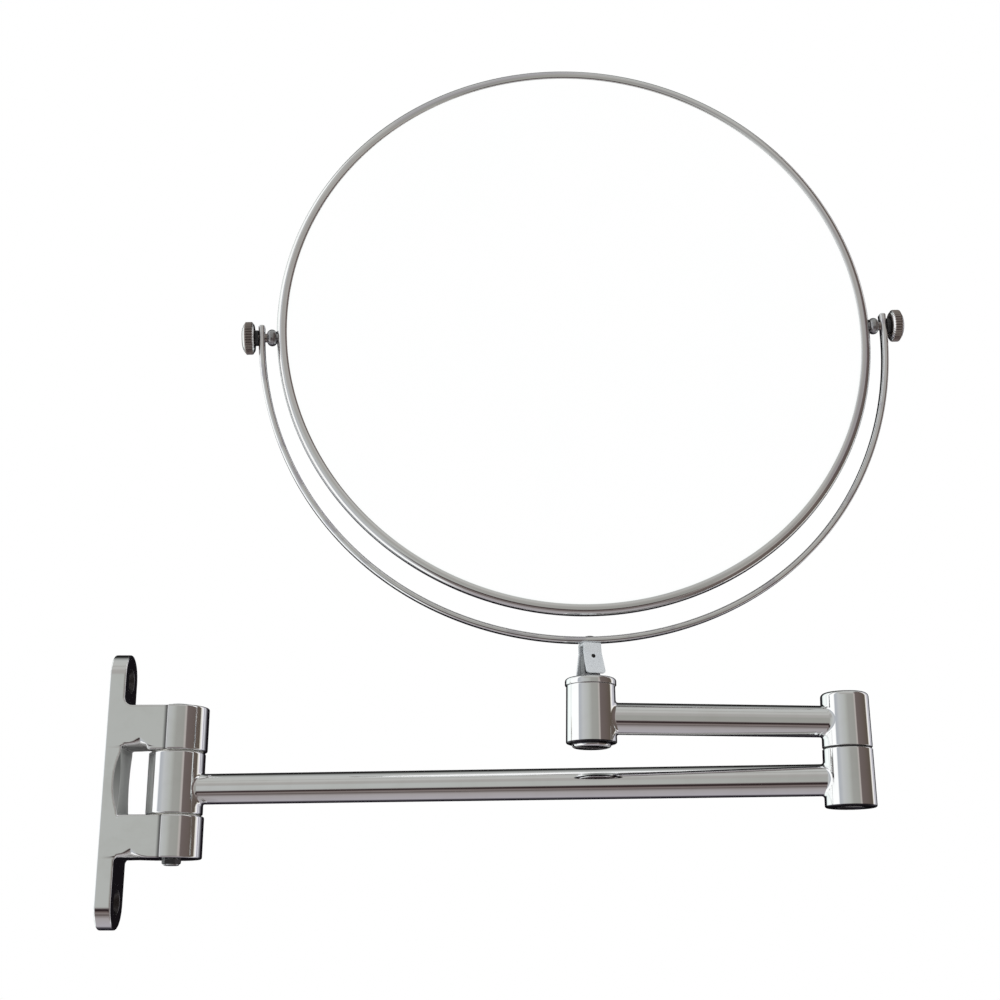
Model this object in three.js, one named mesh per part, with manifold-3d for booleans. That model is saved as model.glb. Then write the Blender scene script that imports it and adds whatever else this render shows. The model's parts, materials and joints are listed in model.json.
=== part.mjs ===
// Extendable shaving mirror on a folding two-piece wall arm.
// Millimetres, +Z up, +X straight out of the wall, the mirror looks towards -Y.
// Origin: the middle of the wall plate's back face.

import * as THREE from 'three';
import Module from 'manifold-3d';
import { mergeVertices } from 'three/addons/utils/BufferGeometryUtils.js';

const wasm = await Module();
wasm.setup();

// ---- driving dimensions -------------------------------------------------

const RUN = 0.05;            // running clearance between turning pieces
const FINE = 48;             // facets round a barrel or tube
const SMALL = 24;            // facets round a pin or screw

// wall bracket
const PLATE_W = 16.5;
const PLATE_H = 90;
const PLATE_T = 5.4;
const PLATE_EDGE = 0.7;      // rounding of the plate's front edge
const SCREW_HOLE_Z = 36.2;
const SCREW_HOLE_R = 2.3;
const COUNTERSINK_R = 3.9;
const PIVOT_X = 22.4;        // wall pivot axis, out from the wall
const LUG_R = 9.8;
const SHOULDER_X = 20.2;     // the drum of each lug stands proud of its neck from here out
const NECK_RELIEF = 1.1;     // the upper neck is cast clear of the barrel's face
const UPPER_LUG_H = 14.7;
const LOWER_LUG_H = 13.7;
const LUG_GAP = 21.1;
const LUG_MID_Z = 1.75;
const LUG_FILLET = 2.6;
const HOLLOW_DEPTH = 1.5;    // worn-back long edges between the lugs
const PIVOT_PIN_R = 2.5;
const PIN_HEAD_R = 4.2;
const PIN_HEAD_H = 1.0;
const NUT_R = 3.2;
const NUT_H = 1.6;
const WASHER_T = 0.35;

// arms
const TUBE_R = 5;
const TUBE_BORE_R = 4;
const WALL_BARREL_R = 9.3;
const LONG_ARM = 219;        // wall pivot to elbow
const SHORT_ARM = 81.5;      // elbow to front barrel
const ELBOW_FOOT_R = 8.1;     // the cast barrels taper a little
const ELBOW_SEAM_R = 7.85;
const ELBOW_TOP_R = 7.56;
const FRONT_FOOT_R = 8.0;
const FRONT_TOP_R = 7.7;
const SOCKET_FLOOR = 4.6;    // barrel axis to the floor of a tube socket
const WALL_SOCKET_FLOOR = 5.2;
const SOCKET_GAP = 0.04;
const ELBOW_BOTTOM = -8.6;
const ELBOW_SEAM = 9.5;
const FRICTION_T = 0.45;
const ELBOW_TOP = 27.3;
const SHORT_TUBE_Z = 18.2;
const BOLT_R = 2.5;
const BOLT_HEAD_R = 4.0;
const BOLT_HEAD_H = 1.6;
const COUNTERBORE_R = 4.4;
const COUNTERBORE_D = 2.5;
const ELBOW_BOLT_TOP = 24.6;

// front barrel and knuckle
const FRONT_BOTTOM = 10.3;
const FRONT_TOP = 28.4;
const CAP_R = 8.1;
const CAP_TOP = 30.7;
const CAP_ROUND = 1.0;
const STEM_R = 2.4;
const STEM_FLANGE_R = 3.1;
const STEM_FLANGE_TOP = 32.2;
const STEM_BOTTOM = 13;
const TONGUE_T = 3.2;
const TONGUE_W = 5.2;
const KNUCKLE_Z = 37.5;       // hinge pin height
const SWIVEL_HEAD_R = 6.2;
const SWIVEL_HEAD_Z = 9.0;
const SWIVEL_SHANK_R = 1.5;
const SWIVEL_RECESS_R = 6.55;
const SWIVEL_RECESS_D = 1.8;
const SHEET_T = 0.9;
const CLEVIS_GAP = 3.5;
const CLEVIS_TOP_W = 5.7;
const CLEVIS_FOOT_W = 6.3;
const CLEVIS_TOP = 4.44;
const CLEVIS_BEND = 1.2;     // below this height the legs splay
const CLEVIS_FOOT = -5.8;
const CLEVIS_SPLAY = 2.6;
const CLEVIS_CORNER = 1.0;
const KNUCKLE_PIN_R = 0.6;
const RIVET_R = 1.1;
const RIVET_HEAD_R = 1.5;
const RIVET_HEAD_H = 0.25;

// yoke
const YOKE_IN = 103.9;       // inner radius at its ends
const YOKE_DEEPER = 0.38;    // extra radius at its foot
const YOKE_FULL = 0.9;       // extra radius half-way between
const YOKE_T = 2.1;
const YOKE_W = 3.7;
const YOKE_TIP = 4.1;
const YOKE_ROUND = 0.5;
const PIVOT_HOLE_R = 1.6;

// mirror
const RIM_R = 100;
const RIM_RISE = 1.54;       // rim centre above the line of its pivots
const RIM_HALF = 2.4;
const RIM_ROUND = 2.1;       // the rolled section
const RIM_ROLL = 126;        // degrees the rolled lip turns through
const RIM_WALL = 0.9;
const LIP_T = 0.6;
const GLASS_R = 98.8;
const GLASS_T = 1.3;
const GLASS_SAG = 0.8;       // hollow of the magnifying side
const SPACER_IN_R = 93;
const BOSS_R = 2.8;
const BOSS_L = 3.2;
const COLLAR_R = 2.6;
const COLLAR_T = 1.15;
const KNOB_R = 5.4;
const KNOB_L = 4.2;
const KNURL_TEETH = 36;
const KNURL_DEPTH = 0.35;
const THUMB_R = 1.45;

// how the arms stand
const LONG_ARM_YAW = -6.9;
const SHORT_ARM_YAW = 192.4;
const STEM_YAW = -167.5;
const KNUCKLE_LEAN = -1.56;
const YOKE_YAW = -14.57;
const YOKE_ROLL = -0.93;     // the yoke's rivet hole is a little off its middle
const MIRROR_TILT = -2.53;

// ---- helpers ------------------------------------------------------------

const rad = (deg) => THREE.MathUtils.degToRad(deg);

function solid(geometry) {
  const bare = geometry.clone();
  bare.deleteAttribute('normal');
  bare.deleteAttribute('uv');
  const merged = mergeVertices(bare, 1e-4);
  const index = merged.index.array;
  const keep = [];
  for (let i = 0; i < index.length; i += 3) {
    const [a, b, c] = [index[i], index[i + 1], index[i + 2]];
    if (a !== b && b !== c && c !== a) keep.push(a, b, c);
  }
  return new wasm.Manifold(new wasm.Mesh({
    numProp: 3,
    vertProperties: new Float32Array(merged.attributes.position.array),
    triVerts: new Uint32Array(keep),
  }));
}

function toGeometry(body) {
  const mesh = body.getMesh();
  const geometry = new THREE.BufferGeometry();
  geometry.setAttribute('position', new THREE.BufferAttribute(mesh.vertProperties.slice(), 3));
  geometry.setIndex(new THREE.BufferAttribute(mesh.triVerts.slice(), 1));
  geometry.computeVertexNormals();
  return geometry;
}

// A turned solid about Z from [radius, z] points.
function turned(points, facets = FINE) {
  const profile = points.map(([r, z]) => new THREE.Vector2(r, z));
  return solid(new THREE.LatheGeometry(profile, facets).rotateX(Math.PI / 2));
}

// A plain cylinder along Z between two heights.
function rod(radius, z0, z1, facets = SMALL) {
  const geometry = new THREE.CylinderGeometry(radius, radius, z1 - z0, facets);
  return solid(geometry.rotateX(Math.PI / 2).translate(0, 0, (z0 + z1) / 2));
}

// The same cylinder laid along +X between two distances, at a height.
function rodX(radius, x0, x1, z = 0, facets = SMALL) {
  const geometry = new THREE.CylinderGeometry(radius, radius, x1 - x0, facets);
  return solid(geometry.rotateZ(-Math.PI / 2).translate((x0 + x1) / 2, 0, z));
}

function rodY(radius, y0, y1, z = 0, facets = SMALL) {
  const geometry = new THREE.CylinderGeometry(radius, radius, y1 - y0, facets);
  return solid(geometry.translate(0, (y0 + y1) / 2, z));
}

function block(x0, x1, y0, y1, z0, z1) {
  const geometry = new THREE.BoxGeometry(x1 - x0, y1 - y0, z1 - z0);
  return solid(geometry.translate((x0 + x1) / 2, (y0 + y1) / 2, (z0 + z1) / 2));
}

function polygon(points) {
  return new THREE.Shape(points.map(([a, b]) => new THREE.Vector2(a, b)));
}

// A shape in X and Z, given thickness along Y about the middle plane.
function slabXZ(shape, thickness, round = 0, curveSegments = 12) {
  const geometry = new THREE.ExtrudeGeometry(shape, {
    depth: thickness - 2 * round,
    bevelEnabled: round > 0,
    bevelSize: round,
    bevelThickness: round,
    bevelOffset: -round,
    bevelSegments: 1,
    curveSegments,
  });
  geometry.translate(0, 0, -(thickness - 2 * round) / 2);
  return solid(geometry.rotateX(Math.PI / 2));
}

// A rounded outer corner as [r, z] points, from the side towards the end face.
function roundedCorner(radius, z, round, up, steps = 4) {
  const points = [];
  for (let i = 0; i <= steps; i += 1) {
    const angle = (i / steps) * Math.PI / 2;
    const r = radius - round + round * Math.cos(angle);
    points.push([r, z + up * (round * Math.sin(angle) - round)]);
  }
  return points;
}

// ---- materials ----------------------------------------------------------

const chrome = [0xd7d9da, 0.12, 1.0];
const darkChrome = [0x8f8a84, 0.25, 1.0];
const steel = [0xa5a6a8, 0.35, 1.0];
const black = [0x161616, 0.55, 0.0];
const nylon = [0xcfcfc8, 0.5, 0.0];
const mirrorGlass = [0xf4f7f8, 0.03, 1.0];
const card = [0x8c8c88, 0.85, 0.0];

function piece(name, body, [color, roughness, metalness]) {
  const material = new THREE.MeshStandardMaterial({ color, roughness, metalness });
  material.name = name;
  const mesh = new THREE.Mesh(toGeometry(body), material);
  mesh.name = name;
  return mesh;
}

function frame(name, parent, x, y, z) {
  const group = new THREE.Group();
  group.name = name;
  group.position.set(x, y, z);
  parent.add(group);
  return group;
}

// ---- wall bracket -------------------------------------------------------

const lugInner = [LUG_MID_Z - LUG_GAP / 2, LUG_MID_Z + LUG_GAP / 2];
const lugOuter = [lugInner[0] - LOWER_LUG_H, lugInner[1] + UPPER_LUG_H];

function plateBody() {
  const half = PLATE_W / 2;
  const straight = PLATE_H / 2 - half;
  const shape = new THREE.Shape();
  shape.moveTo(half, -straight);
  shape.lineTo(half, straight);
  shape.absarc(0, straight, half, 0, Math.PI, false);
  shape.lineTo(-half, -straight);
  shape.absarc(0, -straight, half, Math.PI, 2 * Math.PI, false);
  const geometry = new THREE.ExtrudeGeometry(shape, {
    depth: PLATE_T - PLATE_EDGE,
    bevelEnabled: true,
    bevelSize: PLATE_EDGE,
    bevelThickness: PLATE_EDGE,
    bevelOffset: -PLATE_EDGE,
    bevelSegments: 2,
    curveSegments: 14,
  });
  // The shape's axes become Y and Z, its thickness X; the back bevel is planed off.
  geometry.applyMatrix4(new THREE.Matrix4().set(0, 0, 1, 0, 1, 0, 0, 0, 0, 1, 0, 0, 0, 0, 0, 1));
  const back = block(-5, 0, -PLATE_W, PLATE_W, -PLATE_H, PLATE_H);
  return solid(geometry).subtract(back);
}

function lugBody(z0, z1) {
  const half = PLATE_W / 2;
  const plan = new THREE.Shape();
  const reach = Math.acos((PIVOT_X - SHOULDER_X) / LUG_R);
  plan.moveTo(1, -half);
  plan.lineTo(SHOULDER_X, -half);
  plan.absarc(PIVOT_X, 0, LUG_R, Math.PI + reach, 3 * Math.PI - reach, false);
  plan.lineTo(SHOULDER_X, half);
  plan.lineTo(1, half);
  const column = solid(new THREE.ExtrudeGeometry(plan, {
    depth: z1 - z0 - 1.2,
    bevelEnabled: true,
    bevelSize: 0.6,
    bevelThickness: 0.6,
    bevelOffset: -0.6,
    bevelSegments: 1,
    curveSegments: 28,
  }).translate(0, 0, z0 + 0.6));
  return column;
}

// A fillet strip along Y in the corner of a lug face and the plate's front.
function filletStrip(z, up) {
  const shape = new THREE.Shape();
  shape.moveTo(PLATE_T - 1, z - up);
  shape.lineTo(PLATE_T + LUG_FILLET, z - up);
  shape.lineTo(PLATE_T + LUG_FILLET, z);
  const turn = up > 0;
  const start = turn ? -Math.PI / 2 : Math.PI / 2;
  shape.absarc(PLATE_T + LUG_FILLET, z + up * LUG_FILLET, LUG_FILLET, start, Math.PI, turn);
  shape.lineTo(PLATE_T - 1, z + up * LUG_FILLET);
  return slabXZ(shape, PLATE_W - 2 * PLATE_EDGE, 0, 6);
}

// Drum cut that wears back one long front edge between the lugs.
function hollowCut(side) {
  const half = LUG_GAP / 2;
  const radius = (half * half + HOLLOW_DEPTH * HOLLOW_DEPTH) / (2 * HOLLOW_DEPTH);
  const place = new THREE.Matrix4();
  const outward = new THREE.Vector3(1, side, 0).normalize();
  const along = new THREE.Vector3(1, -side, 0).normalize();
  const up = new THREE.Vector3(0, 0, 1);
  place.makeBasis(up, along, outward);
  const cutter = new THREE.CylinderGeometry(radius, radius, 20, 120);
  cutter.translate(0, 0, radius - HOLLOW_DEPTH);
  cutter.applyMatrix4(place);
  if (place.determinant() < 0) cutter.index.array.reverse();
  cutter.translate(PLATE_T, side * PLATE_W / 2, LUG_MID_Z);
  return solid(cutter);
}

function countersunkHole(z) {
  const cone = PLATE_T - (COUNTERSINK_R - SCREW_HOLE_R);
  const profile = turned([
    [0, -1], [SCREW_HOLE_R, -1], [SCREW_HOLE_R, cone],
    [COUNTERSINK_R, PLATE_T], [COUNTERSINK_R, PLATE_T + 1], [0, PLATE_T + 1],
  ], SMALL);
  return profile.rotate([0, 90, 0]).translate([0, 0, z]);
}

function bracketBody() {
  let body = plateBody();
  body = body.add(lugBody(lugInner[1], lugOuter[1]));
  body = body.add(lugBody(lugOuter[0], lugInner[0]));
  const relief = block(PLATE_T, 13.2, -PLATE_W, PLATE_W, lugInner[1] - 1, lugInner[1] + NECK_RELIEF);
  body = body.subtract(hollowCut(1)).subtract(hollowCut(-1)).subtract(relief);
  body = body.add(filletStrip(lugOuter[1], 1));
  body = body.add(filletStrip(lugOuter[0], -1));
  const bore = rod(PIVOT_PIN_R + RUN, -60, 60).translate([PIVOT_X, 0, 0]);
  body = body.subtract(bore);
  for (const z of [SCREW_HOLE_Z, -SCREW_HOLE_Z]) body = body.subtract(countersunkHole(z));
  return body;
}

function pivotPinBody() {
  const top = lugOuter[1] + RUN;
  const foot = lugOuter[0] - NUT_H - 0.5;
  return turned([
    [0, foot], [PIVOT_PIN_R - 0.3, foot], [PIVOT_PIN_R, foot + 0.3], [PIVOT_PIN_R, top],
    [PIN_HEAD_R, top], [PIN_HEAD_R, top + 0.4], [PIN_HEAD_R - 0.8, top + PIN_HEAD_H], [0, top + PIN_HEAD_H],
  ], SMALL);
}

function pivotNutBody() {
  const top = lugOuter[0] - RUN;
  const hex = new THREE.CylinderGeometry(NUT_R, NUT_R, NUT_H, 6).rotateX(Math.PI / 2);
  const trim = turned([
    [0, top - NUT_H], [NUT_R - 0.6, top - NUT_H], [NUT_R, top - NUT_H + 0.5], [NUT_R, top], [0, top],
  ], SMALL);
  const body = solid(hex.translate(0, 0, top - NUT_H / 2)).intersect(trim);
  return body.subtract(rod(PIVOT_PIN_R + RUN, -60, 0));
}

function ringBody(outer, inner, z0, z1, facets = FINE) {
  return rod(outer, z0, z1, facets).subtract(rod(inner, z0 - 1, z1 + 1));
}

// ---- arms ---------------------------------------------------------------

const wallBarrelEnds = [lugInner[0] + WASHER_T + 2 * RUN, lugInner[1] - WASHER_T - 2 * RUN];

function wallBarrelBody() {
  const [z0, z1] = wallBarrelEnds;
  const profile = [
    [0, z0],
    ...roundedCorner(WALL_BARREL_R, z0, 0.5, -1, 3).reverse(),
    ...roundedCorner(WALL_BARREL_R, z1, 0.5, 1, 3),
    [0, z1],
  ];
  const socket = rodX(TUBE_R + SOCKET_GAP, WALL_SOCKET_FLOOR, 20, 0, FINE);
  const bore = rod(PIVOT_PIN_R + RUN, -60, 60);
  return turned(profile).subtract(socket).subtract(bore);
}

function tubeBody(x0, x1, z) {
  const outer = rodX(TUBE_R, x0, x1, z, FINE);
  return outer.subtract(rodX(TUBE_BORE_R, x0 - 1, x1 + 1, z, SMALL));
}

function elbowLowerBody() {
  const profile = [
    [0, ELBOW_BOTTOM],
    ...roundedCorner(ELBOW_FOOT_R, ELBOW_BOTTOM, 0.6, -1, 3).reverse(),
    [ELBOW_SEAM_R, ELBOW_SEAM],
    [0, ELBOW_SEAM],
  ];
  const socket = rodX(TUBE_R + SOCKET_GAP, -20, -SOCKET_FLOOR, 0, FINE);
  const bore = rod(BOLT_R + RUN, -60, 60);
  const recess = rod(COUNTERBORE_R, ELBOW_BOTTOM - 1, ELBOW_BOTTOM + COUNTERBORE_D);
  return turned(profile).subtract(socket).subtract(bore).subtract(recess);
}

function elbowUpperBody() {
  const z0 = ELBOW_SEAM + FRICTION_T + 2 * RUN;
  const profile = [
    [0, z0],
    [ELBOW_SEAM_R, z0],
    ...roundedCorner(ELBOW_TOP_R, ELBOW_TOP, 1.4, 1, 5),
    [0, ELBOW_TOP],
  ];
  const socket = rodX(TUBE_R + SOCKET_GAP, SOCKET_FLOOR, 20, SHORT_TUBE_Z, FINE);
  const bore = rod(BOLT_R + RUN, -60, ELBOW_BOLT_TOP + 0.4);
  return turned(profile).subtract(socket).subtract(bore);
}

function slottedHead(body, radius, z, width, depth) {
  return body.subtract(block(-radius - 1, radius + 1, -width / 2, width / 2, z - 1, z + depth));
}

function elbowBoltBody() {
  const seat = ELBOW_BOTTOM + COUNTERBORE_D - 0.45 - RUN;
  const head = seat - BOLT_HEAD_H;
  const body = turned([
    [0, head], [BOLT_HEAD_R - 0.3, head], [BOLT_HEAD_R, head + 0.3], [BOLT_HEAD_R, seat],
    [BOLT_R, seat], [BOLT_R, ELBOW_BOLT_TOP - 0.4], [BOLT_R - 0.4, ELBOW_BOLT_TOP], [0, ELBOW_BOLT_TOP],
  ], SMALL);
  return slottedHead(body, BOLT_HEAD_R, head, 1.2, 0.9);
}

function frontBarrelBody() {
  const profile = [
    [0, FRONT_BOTTOM],
    ...roundedCorner(FRONT_FOOT_R, FRONT_BOTTOM, 0.5, -1, 3).reverse(),
    [FRONT_TOP_R, FRONT_TOP],
    [0, FRONT_TOP],
  ];
  const socket = rodX(TUBE_R + SOCKET_GAP, -20, -SOCKET_FLOOR, SHORT_TUBE_Z, FINE);
  const bore = rod(STEM_R + RUN, -60, 60);
  const recess = rod(SWIVEL_RECESS_R, FRONT_BOTTOM - 1, FRONT_BOTTOM + SWIVEL_RECESS_D);
  return turned(profile).subtract(socket).subtract(bore).subtract(recess);
}

function capBody() {
  const profile = [
    [0, FRONT_TOP + RUN],
    [CAP_R, FRONT_TOP + RUN],
    ...roundedCorner(CAP_R, CAP_TOP, CAP_ROUND, 1, 4),
    [0, CAP_TOP],
  ];
  return turned(profile).subtract(rod(STEM_R + RUN, 0, 60));
}

// ---- knuckle ------------------------------------------------------------

function stemBody() {
  const shaft = turned([
    [0, STEM_BOTTOM], [STEM_R, STEM_BOTTOM], [STEM_R, CAP_TOP + RUN],
    [STEM_FLANGE_R, CAP_TOP + RUN], [STEM_FLANGE_R, STEM_FLANGE_TOP - 0.4],
    [STEM_FLANGE_R - 0.4, STEM_FLANGE_TOP], [0, STEM_FLANGE_TOP],
  ], SMALL);
  const half = TONGUE_W / 2;
  const shape = new THREE.Shape();
  shape.moveTo(-half, STEM_FLANGE_TOP - 0.6);
  shape.lineTo(half, STEM_FLANGE_TOP - 0.6);
  shape.lineTo(half, KNUCKLE_Z);
  shape.absarc(0, KNUCKLE_Z, half, 0, Math.PI, false);
  const tongue = slabXZ(shape, TONGUE_T, 0, 16);
  const pinHole = rodY(KNUCKLE_PIN_R + RUN, -5, 5, KNUCKLE_Z, 24);
  const tapped = rod(SWIVEL_SHANK_R + RUN, STEM_BOTTOM - 1, STEM_BOTTOM + 9);
  return shaft.add(tongue).subtract(pinHole).subtract(tapped);
}

function swivelScrewBody() {
  const seat = FRONT_BOTTOM + SWIVEL_RECESS_D - 0.5 - RUN;
  const body = turned([
    [0, SWIVEL_HEAD_Z], [SWIVEL_HEAD_R - 1.2, SWIVEL_HEAD_Z], [SWIVEL_HEAD_R - 0.3, SWIVEL_HEAD_Z + 0.4],
    [SWIVEL_HEAD_R, SWIVEL_HEAD_Z + 1], [SWIVEL_HEAD_R, seat], [SWIVEL_SHANK_R, seat],
    [SWIVEL_SHANK_R, STEM_BOTTOM + 8], [0, STEM_BOTTOM + 8],
  ], SMALL);
  return slottedHead(body, SWIVEL_HEAD_R, SWIVEL_HEAD_Z, 1.3, 0.9);
}

// Folded sheet clevis, in its own frame with the hinge pin along Y at the origin.
const splayAt = (z) => CLEVIS_SPLAY * (CLEVIS_BEND - z) / (CLEVIS_BEND - CLEVIS_FOOT);

function clevisBody() {
  const inner = CLEVIS_GAP / 2;
  const outer = inner + SHEET_T;
  const below = CLEVIS_FOOT - 1;
  const [innerFoot, outerFoot] = [inner + splayAt(below), outer + splayAt(below)];
  const section = polygon([
    [-outer, CLEVIS_TOP], [-outer, CLEVIS_BEND], [-outerFoot, below], [-innerFoot, below],
    [-inner, CLEVIS_BEND], [-inner, CLEVIS_TOP - SHEET_T], [inner, CLEVIS_TOP - SHEET_T], [inner, CLEVIS_BEND],
    [innerFoot, below], [outerFoot, below], [outer, CLEVIS_BEND], [outer, CLEVIS_TOP],
  ]);
  const sheet = slabXZ(section, CLEVIS_FOOT_W + 2).rotate([0, 0, 90]);
  const [top, foot] = [CLEVIS_TOP_W / 2, CLEVIS_FOOT_W / 2];
  const corner = CLEVIS_FOOT + CLEVIS_CORNER;
  const face = new THREE.Shape();
  face.moveTo(-top, CLEVIS_TOP + 1);
  face.lineTo(-foot, corner);
  face.absarc(-foot + CLEVIS_CORNER, corner, CLEVIS_CORNER, Math.PI, 1.5 * Math.PI, false);
  face.absarc(foot - CLEVIS_CORNER, corner, CLEVIS_CORNER, 1.5 * Math.PI, 2 * Math.PI, false);
  face.lineTo(top, CLEVIS_TOP + 1);
  const trimmed = sheet.intersect(slabXZ(face, 20, 0, 6));
  const pinHole = rodY(KNUCKLE_PIN_R + RUN, -10, 10, 0, 24);
  return trimmed.subtract(pinHole).subtract(rod(RIVET_R + RUN, 0, 10));
}

function knucklePinBody() {
  const end = CLEVIS_GAP / 2 + SHEET_T + splayAt(0) + 0.2;
  return rodY(KNUCKLE_PIN_R, -end, end, 0, 24);
}

// ---- rivet, in the hinge pin's frame, and yoke, in a frame at its arc's centre ----

const yokeOut = YOKE_IN + YOKE_T;
// arc centre, and mirror axis, above the hinge pin
const arcZ = CLEVIS_TOP + RUN + yokeOut + YOKE_DEEPER;

function rivetBody() {
  const z0 = CLEVIS_TOP - SHEET_T;
  const z1 = CLEVIS_TOP + YOKE_T + 2 * RUN;
  return turned([
    [0, z0], [RIVET_R, z0], [RIVET_R, z1], [RIVET_HEAD_R, z1],
    [RIVET_HEAD_R - 0.1, z1 + 0.1], [RIVET_HEAD_R - 0.9, z1 + RIVET_HEAD_H], [0, z1 + RIVET_HEAD_H],
  ], SMALL);
}

// The bent bar's edge: a near half circle below the axis, as [x, z] points from the right.
function hoopEdge(radius, steps = 96) {
  const points = [];
  for (let i = 0; i <= steps; i += 1) {
    const angle = (i / steps) * Math.PI;
    const fuller = YOKE_DEEPER * Math.sin(angle) ** 2 + YOKE_FULL * Math.sin(2 * angle) ** 2;
    points.push([(radius + fuller) * Math.cos(angle), -(radius + fuller) * Math.sin(angle)]);
  }
  return points;
}

function yokeBody() {
  const shape = polygon([
    [yokeOut, YOKE_TIP], ...hoopEdge(yokeOut), [-yokeOut, YOKE_TIP],
    [-YOKE_IN, YOKE_TIP], ...hoopEdge(YOKE_IN).reverse(), [YOKE_IN, YOKE_TIP],
  ]);
  const bar = slabXZ(shape, YOKE_W, YOKE_ROUND);
  const holes = rodX(PIVOT_HOLE_R, -120, 120);
  const rivetHole = rod(RIVET_R + RUN, -120, -90).rotate([0, -YOKE_ROLL, 0]);
  return bar.subtract(holes).subtract(rivetHole);
}

function collarBody() {
  const x0 = yokeOut + RUN;
  const body = rodX(COLLAR_R, x0, x0 + COLLAR_T);
  return body.subtract(rodX(THUMB_R + 0.15, 0, 120));
}

// ---- mirror, in a frame at its axis ---------------------------------------

// A turned solid about Y from [radius, y] points.
function turnedY(points, facets) {
  const profile = points.map(([r, y]) => new THREE.Vector2(r, y));
  return solid(new THREE.LatheGeometry(profile, facets));
}

function rimBody() {
  const channel = RIM_HALF - LIP_T;
  const roll = [];
  for (let i = 0; i <= 7; i += 1) {
    const angle = rad((i / 7) * RIM_ROLL);
    roll.push([RIM_R - RIM_ROUND + RIM_ROUND * Math.cos(angle), RIM_HALF - RIM_ROUND + RIM_ROUND * Math.sin(angle)]);
  }
  const opening = roll[roll.length - 1][0];
  const lip = [...roll, [opening, channel], [RIM_R - RIM_WALL, channel]];
  const back = lip.map(([r, y]) => [r, -y]).reverse();
  const body = turnedY([...back, ...lip, back[0]], 96);
  return body.subtract(rodX(1.55, -120, 120, -RIM_RISE));
}

function plainGlassBody() {
  const y0 = -(RIM_HALF - LIP_T - RUN);
  const y1 = y0 + GLASS_T;
  return turnedY([[0, y0], [GLASS_R, y0], [GLASS_R, y1], [0, y1]], 96);
}

function magnifyingGlassBody() {
  const y1 = RIM_HALF - LIP_T - RUN;
  const sag = (r) => GLASS_SAG * (1 - (r / GLASS_R) ** 2);
  const rings = [0, 0.4, 0.72, 1].map((f) => f * GLASS_R);
  const back = rings.map((r) => [r, y1 - GLASS_T - sag(r)]);
  const front = rings.map((r) => [r, y1 - sag(r)]).reverse();
  return turnedY([...back, ...front], 72);
}

function spacerBody() {
  const half = RIM_HALF - LIP_T - GLASS_T - 2 * RUN;
  return turnedY([
    [SPACER_IN_R, -half], [GLASS_R, -half], [GLASS_R, half], [SPACER_IN_R, half - 0.25], [SPACER_IN_R, -half],
  ], 72);
}

// Pivot boss on the right-hand side, riveted into the rim.
function bossBody() {
  const x0 = RIM_R + RUN;
  const x1 = x0 + BOSS_L;
  const body = turned([
    [0, RIM_R - RIM_WALL + 0.1], [1.5, RIM_R - RIM_WALL + 0.1], [1.5, x0], [BOSS_R - 0.5, x0],
    [BOSS_R, x0 + 0.6], [BOSS_R, x0 + 1.5], [BOSS_R - 0.5, x1 - 0.7], [BOSS_R - 1.2, x1], [0, x1],
  ], SMALL).rotate([0, 90, 0]);
  return body.subtract(rodX(THUMB_R + RUN, x0 + 0.6, 120));
}

// Knurled thumb screw on the right-hand side.
function thumbScrewBody() {
  const x0 = yokeOut + COLLAR_T + 2 * RUN;
  const x1 = x0 + KNOB_L;
  const outline = [];
  for (let i = 0; i < KNURL_TEETH; i += 1) {
    for (const [step, r] of [[0, KNOB_R - KNURL_DEPTH], [0.3, KNOB_R], [0.7, KNOB_R]]) {
      const angle = ((i + step) / KNURL_TEETH) * 2 * Math.PI;
      outline.push([r * Math.cos(angle), r * Math.sin(angle)]);
    }
  }
  const star = new THREE.ExtrudeGeometry(polygon(outline), { depth: KNOB_L, bevelEnabled: false });
  const form = turned([
    [0, x0], [KNOB_R - 1.6, x0], [KNOB_R, x0 + 0.8], [KNOB_R, x1 - 1.3],
    [KNOB_R - 1.9, x1 - 0.25], [KNOB_R - 2.6, x1], [0, x1],
  ], FINE);
  const knob = solid(star.translate(0, 0, x0)).intersect(form);
  const shank = rod(THUMB_R, RIM_R + 1.2, x0 + 1);
  return knob.add(shank).rotate([0, 90, 0]);
}

// ---- assembly -------------------------------------------------------------

const root = new THREE.Group();
root.name = 'extendable_shaving_mirror';

root.add(piece('wall_bracket', bracketBody(), chrome));
const pivot = frame('wall_pivot', root, PIVOT_X, 0, 0);
pivot.add(piece('wall_pivot_pin', pivotPinBody(), steel));
pivot.add(piece('wall_pivot_nut', pivotNutBody(), darkChrome));
const washerR = WALL_BARREL_R - 0.4;
const pinBore = PIVOT_PIN_R + RUN;
const upperWasher = ringBody(washerR, pinBore, lugInner[1] - RUN - WASHER_T, lugInner[1] - RUN);
const lowerWasher = ringBody(washerR, pinBore, lugInner[0] + RUN, lugInner[0] + RUN + WASHER_T);
pivot.add(piece('wall_washer_upper', upperWasher, nylon));
pivot.add(piece('wall_washer_lower', lowerWasher, nylon));

const longArm = frame('long_arm', root, PIVOT_X, 0, 0);
longArm.rotation.z = rad(LONG_ARM_YAW);
longArm.add(piece('wall_barrel', wallBarrelBody(), chrome));
const longTube = tubeBody(WALL_SOCKET_FLOOR + RUN, LONG_ARM - SOCKET_FLOOR - RUN, 0);
longArm.add(piece('long_arm_tube', longTube, chrome));

const elbow = frame('elbow', longArm, LONG_ARM, 0, 0);
elbow.add(piece('elbow_lower_barrel', elbowLowerBody(), chrome));
const frictionZ = ELBOW_SEAM + RUN;
const friction = ringBody(ELBOW_SEAM_R - 0.3, BOLT_R + RUN, frictionZ, frictionZ + FRICTION_T);
elbow.add(piece('elbow_friction_washer', friction, black));

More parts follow.
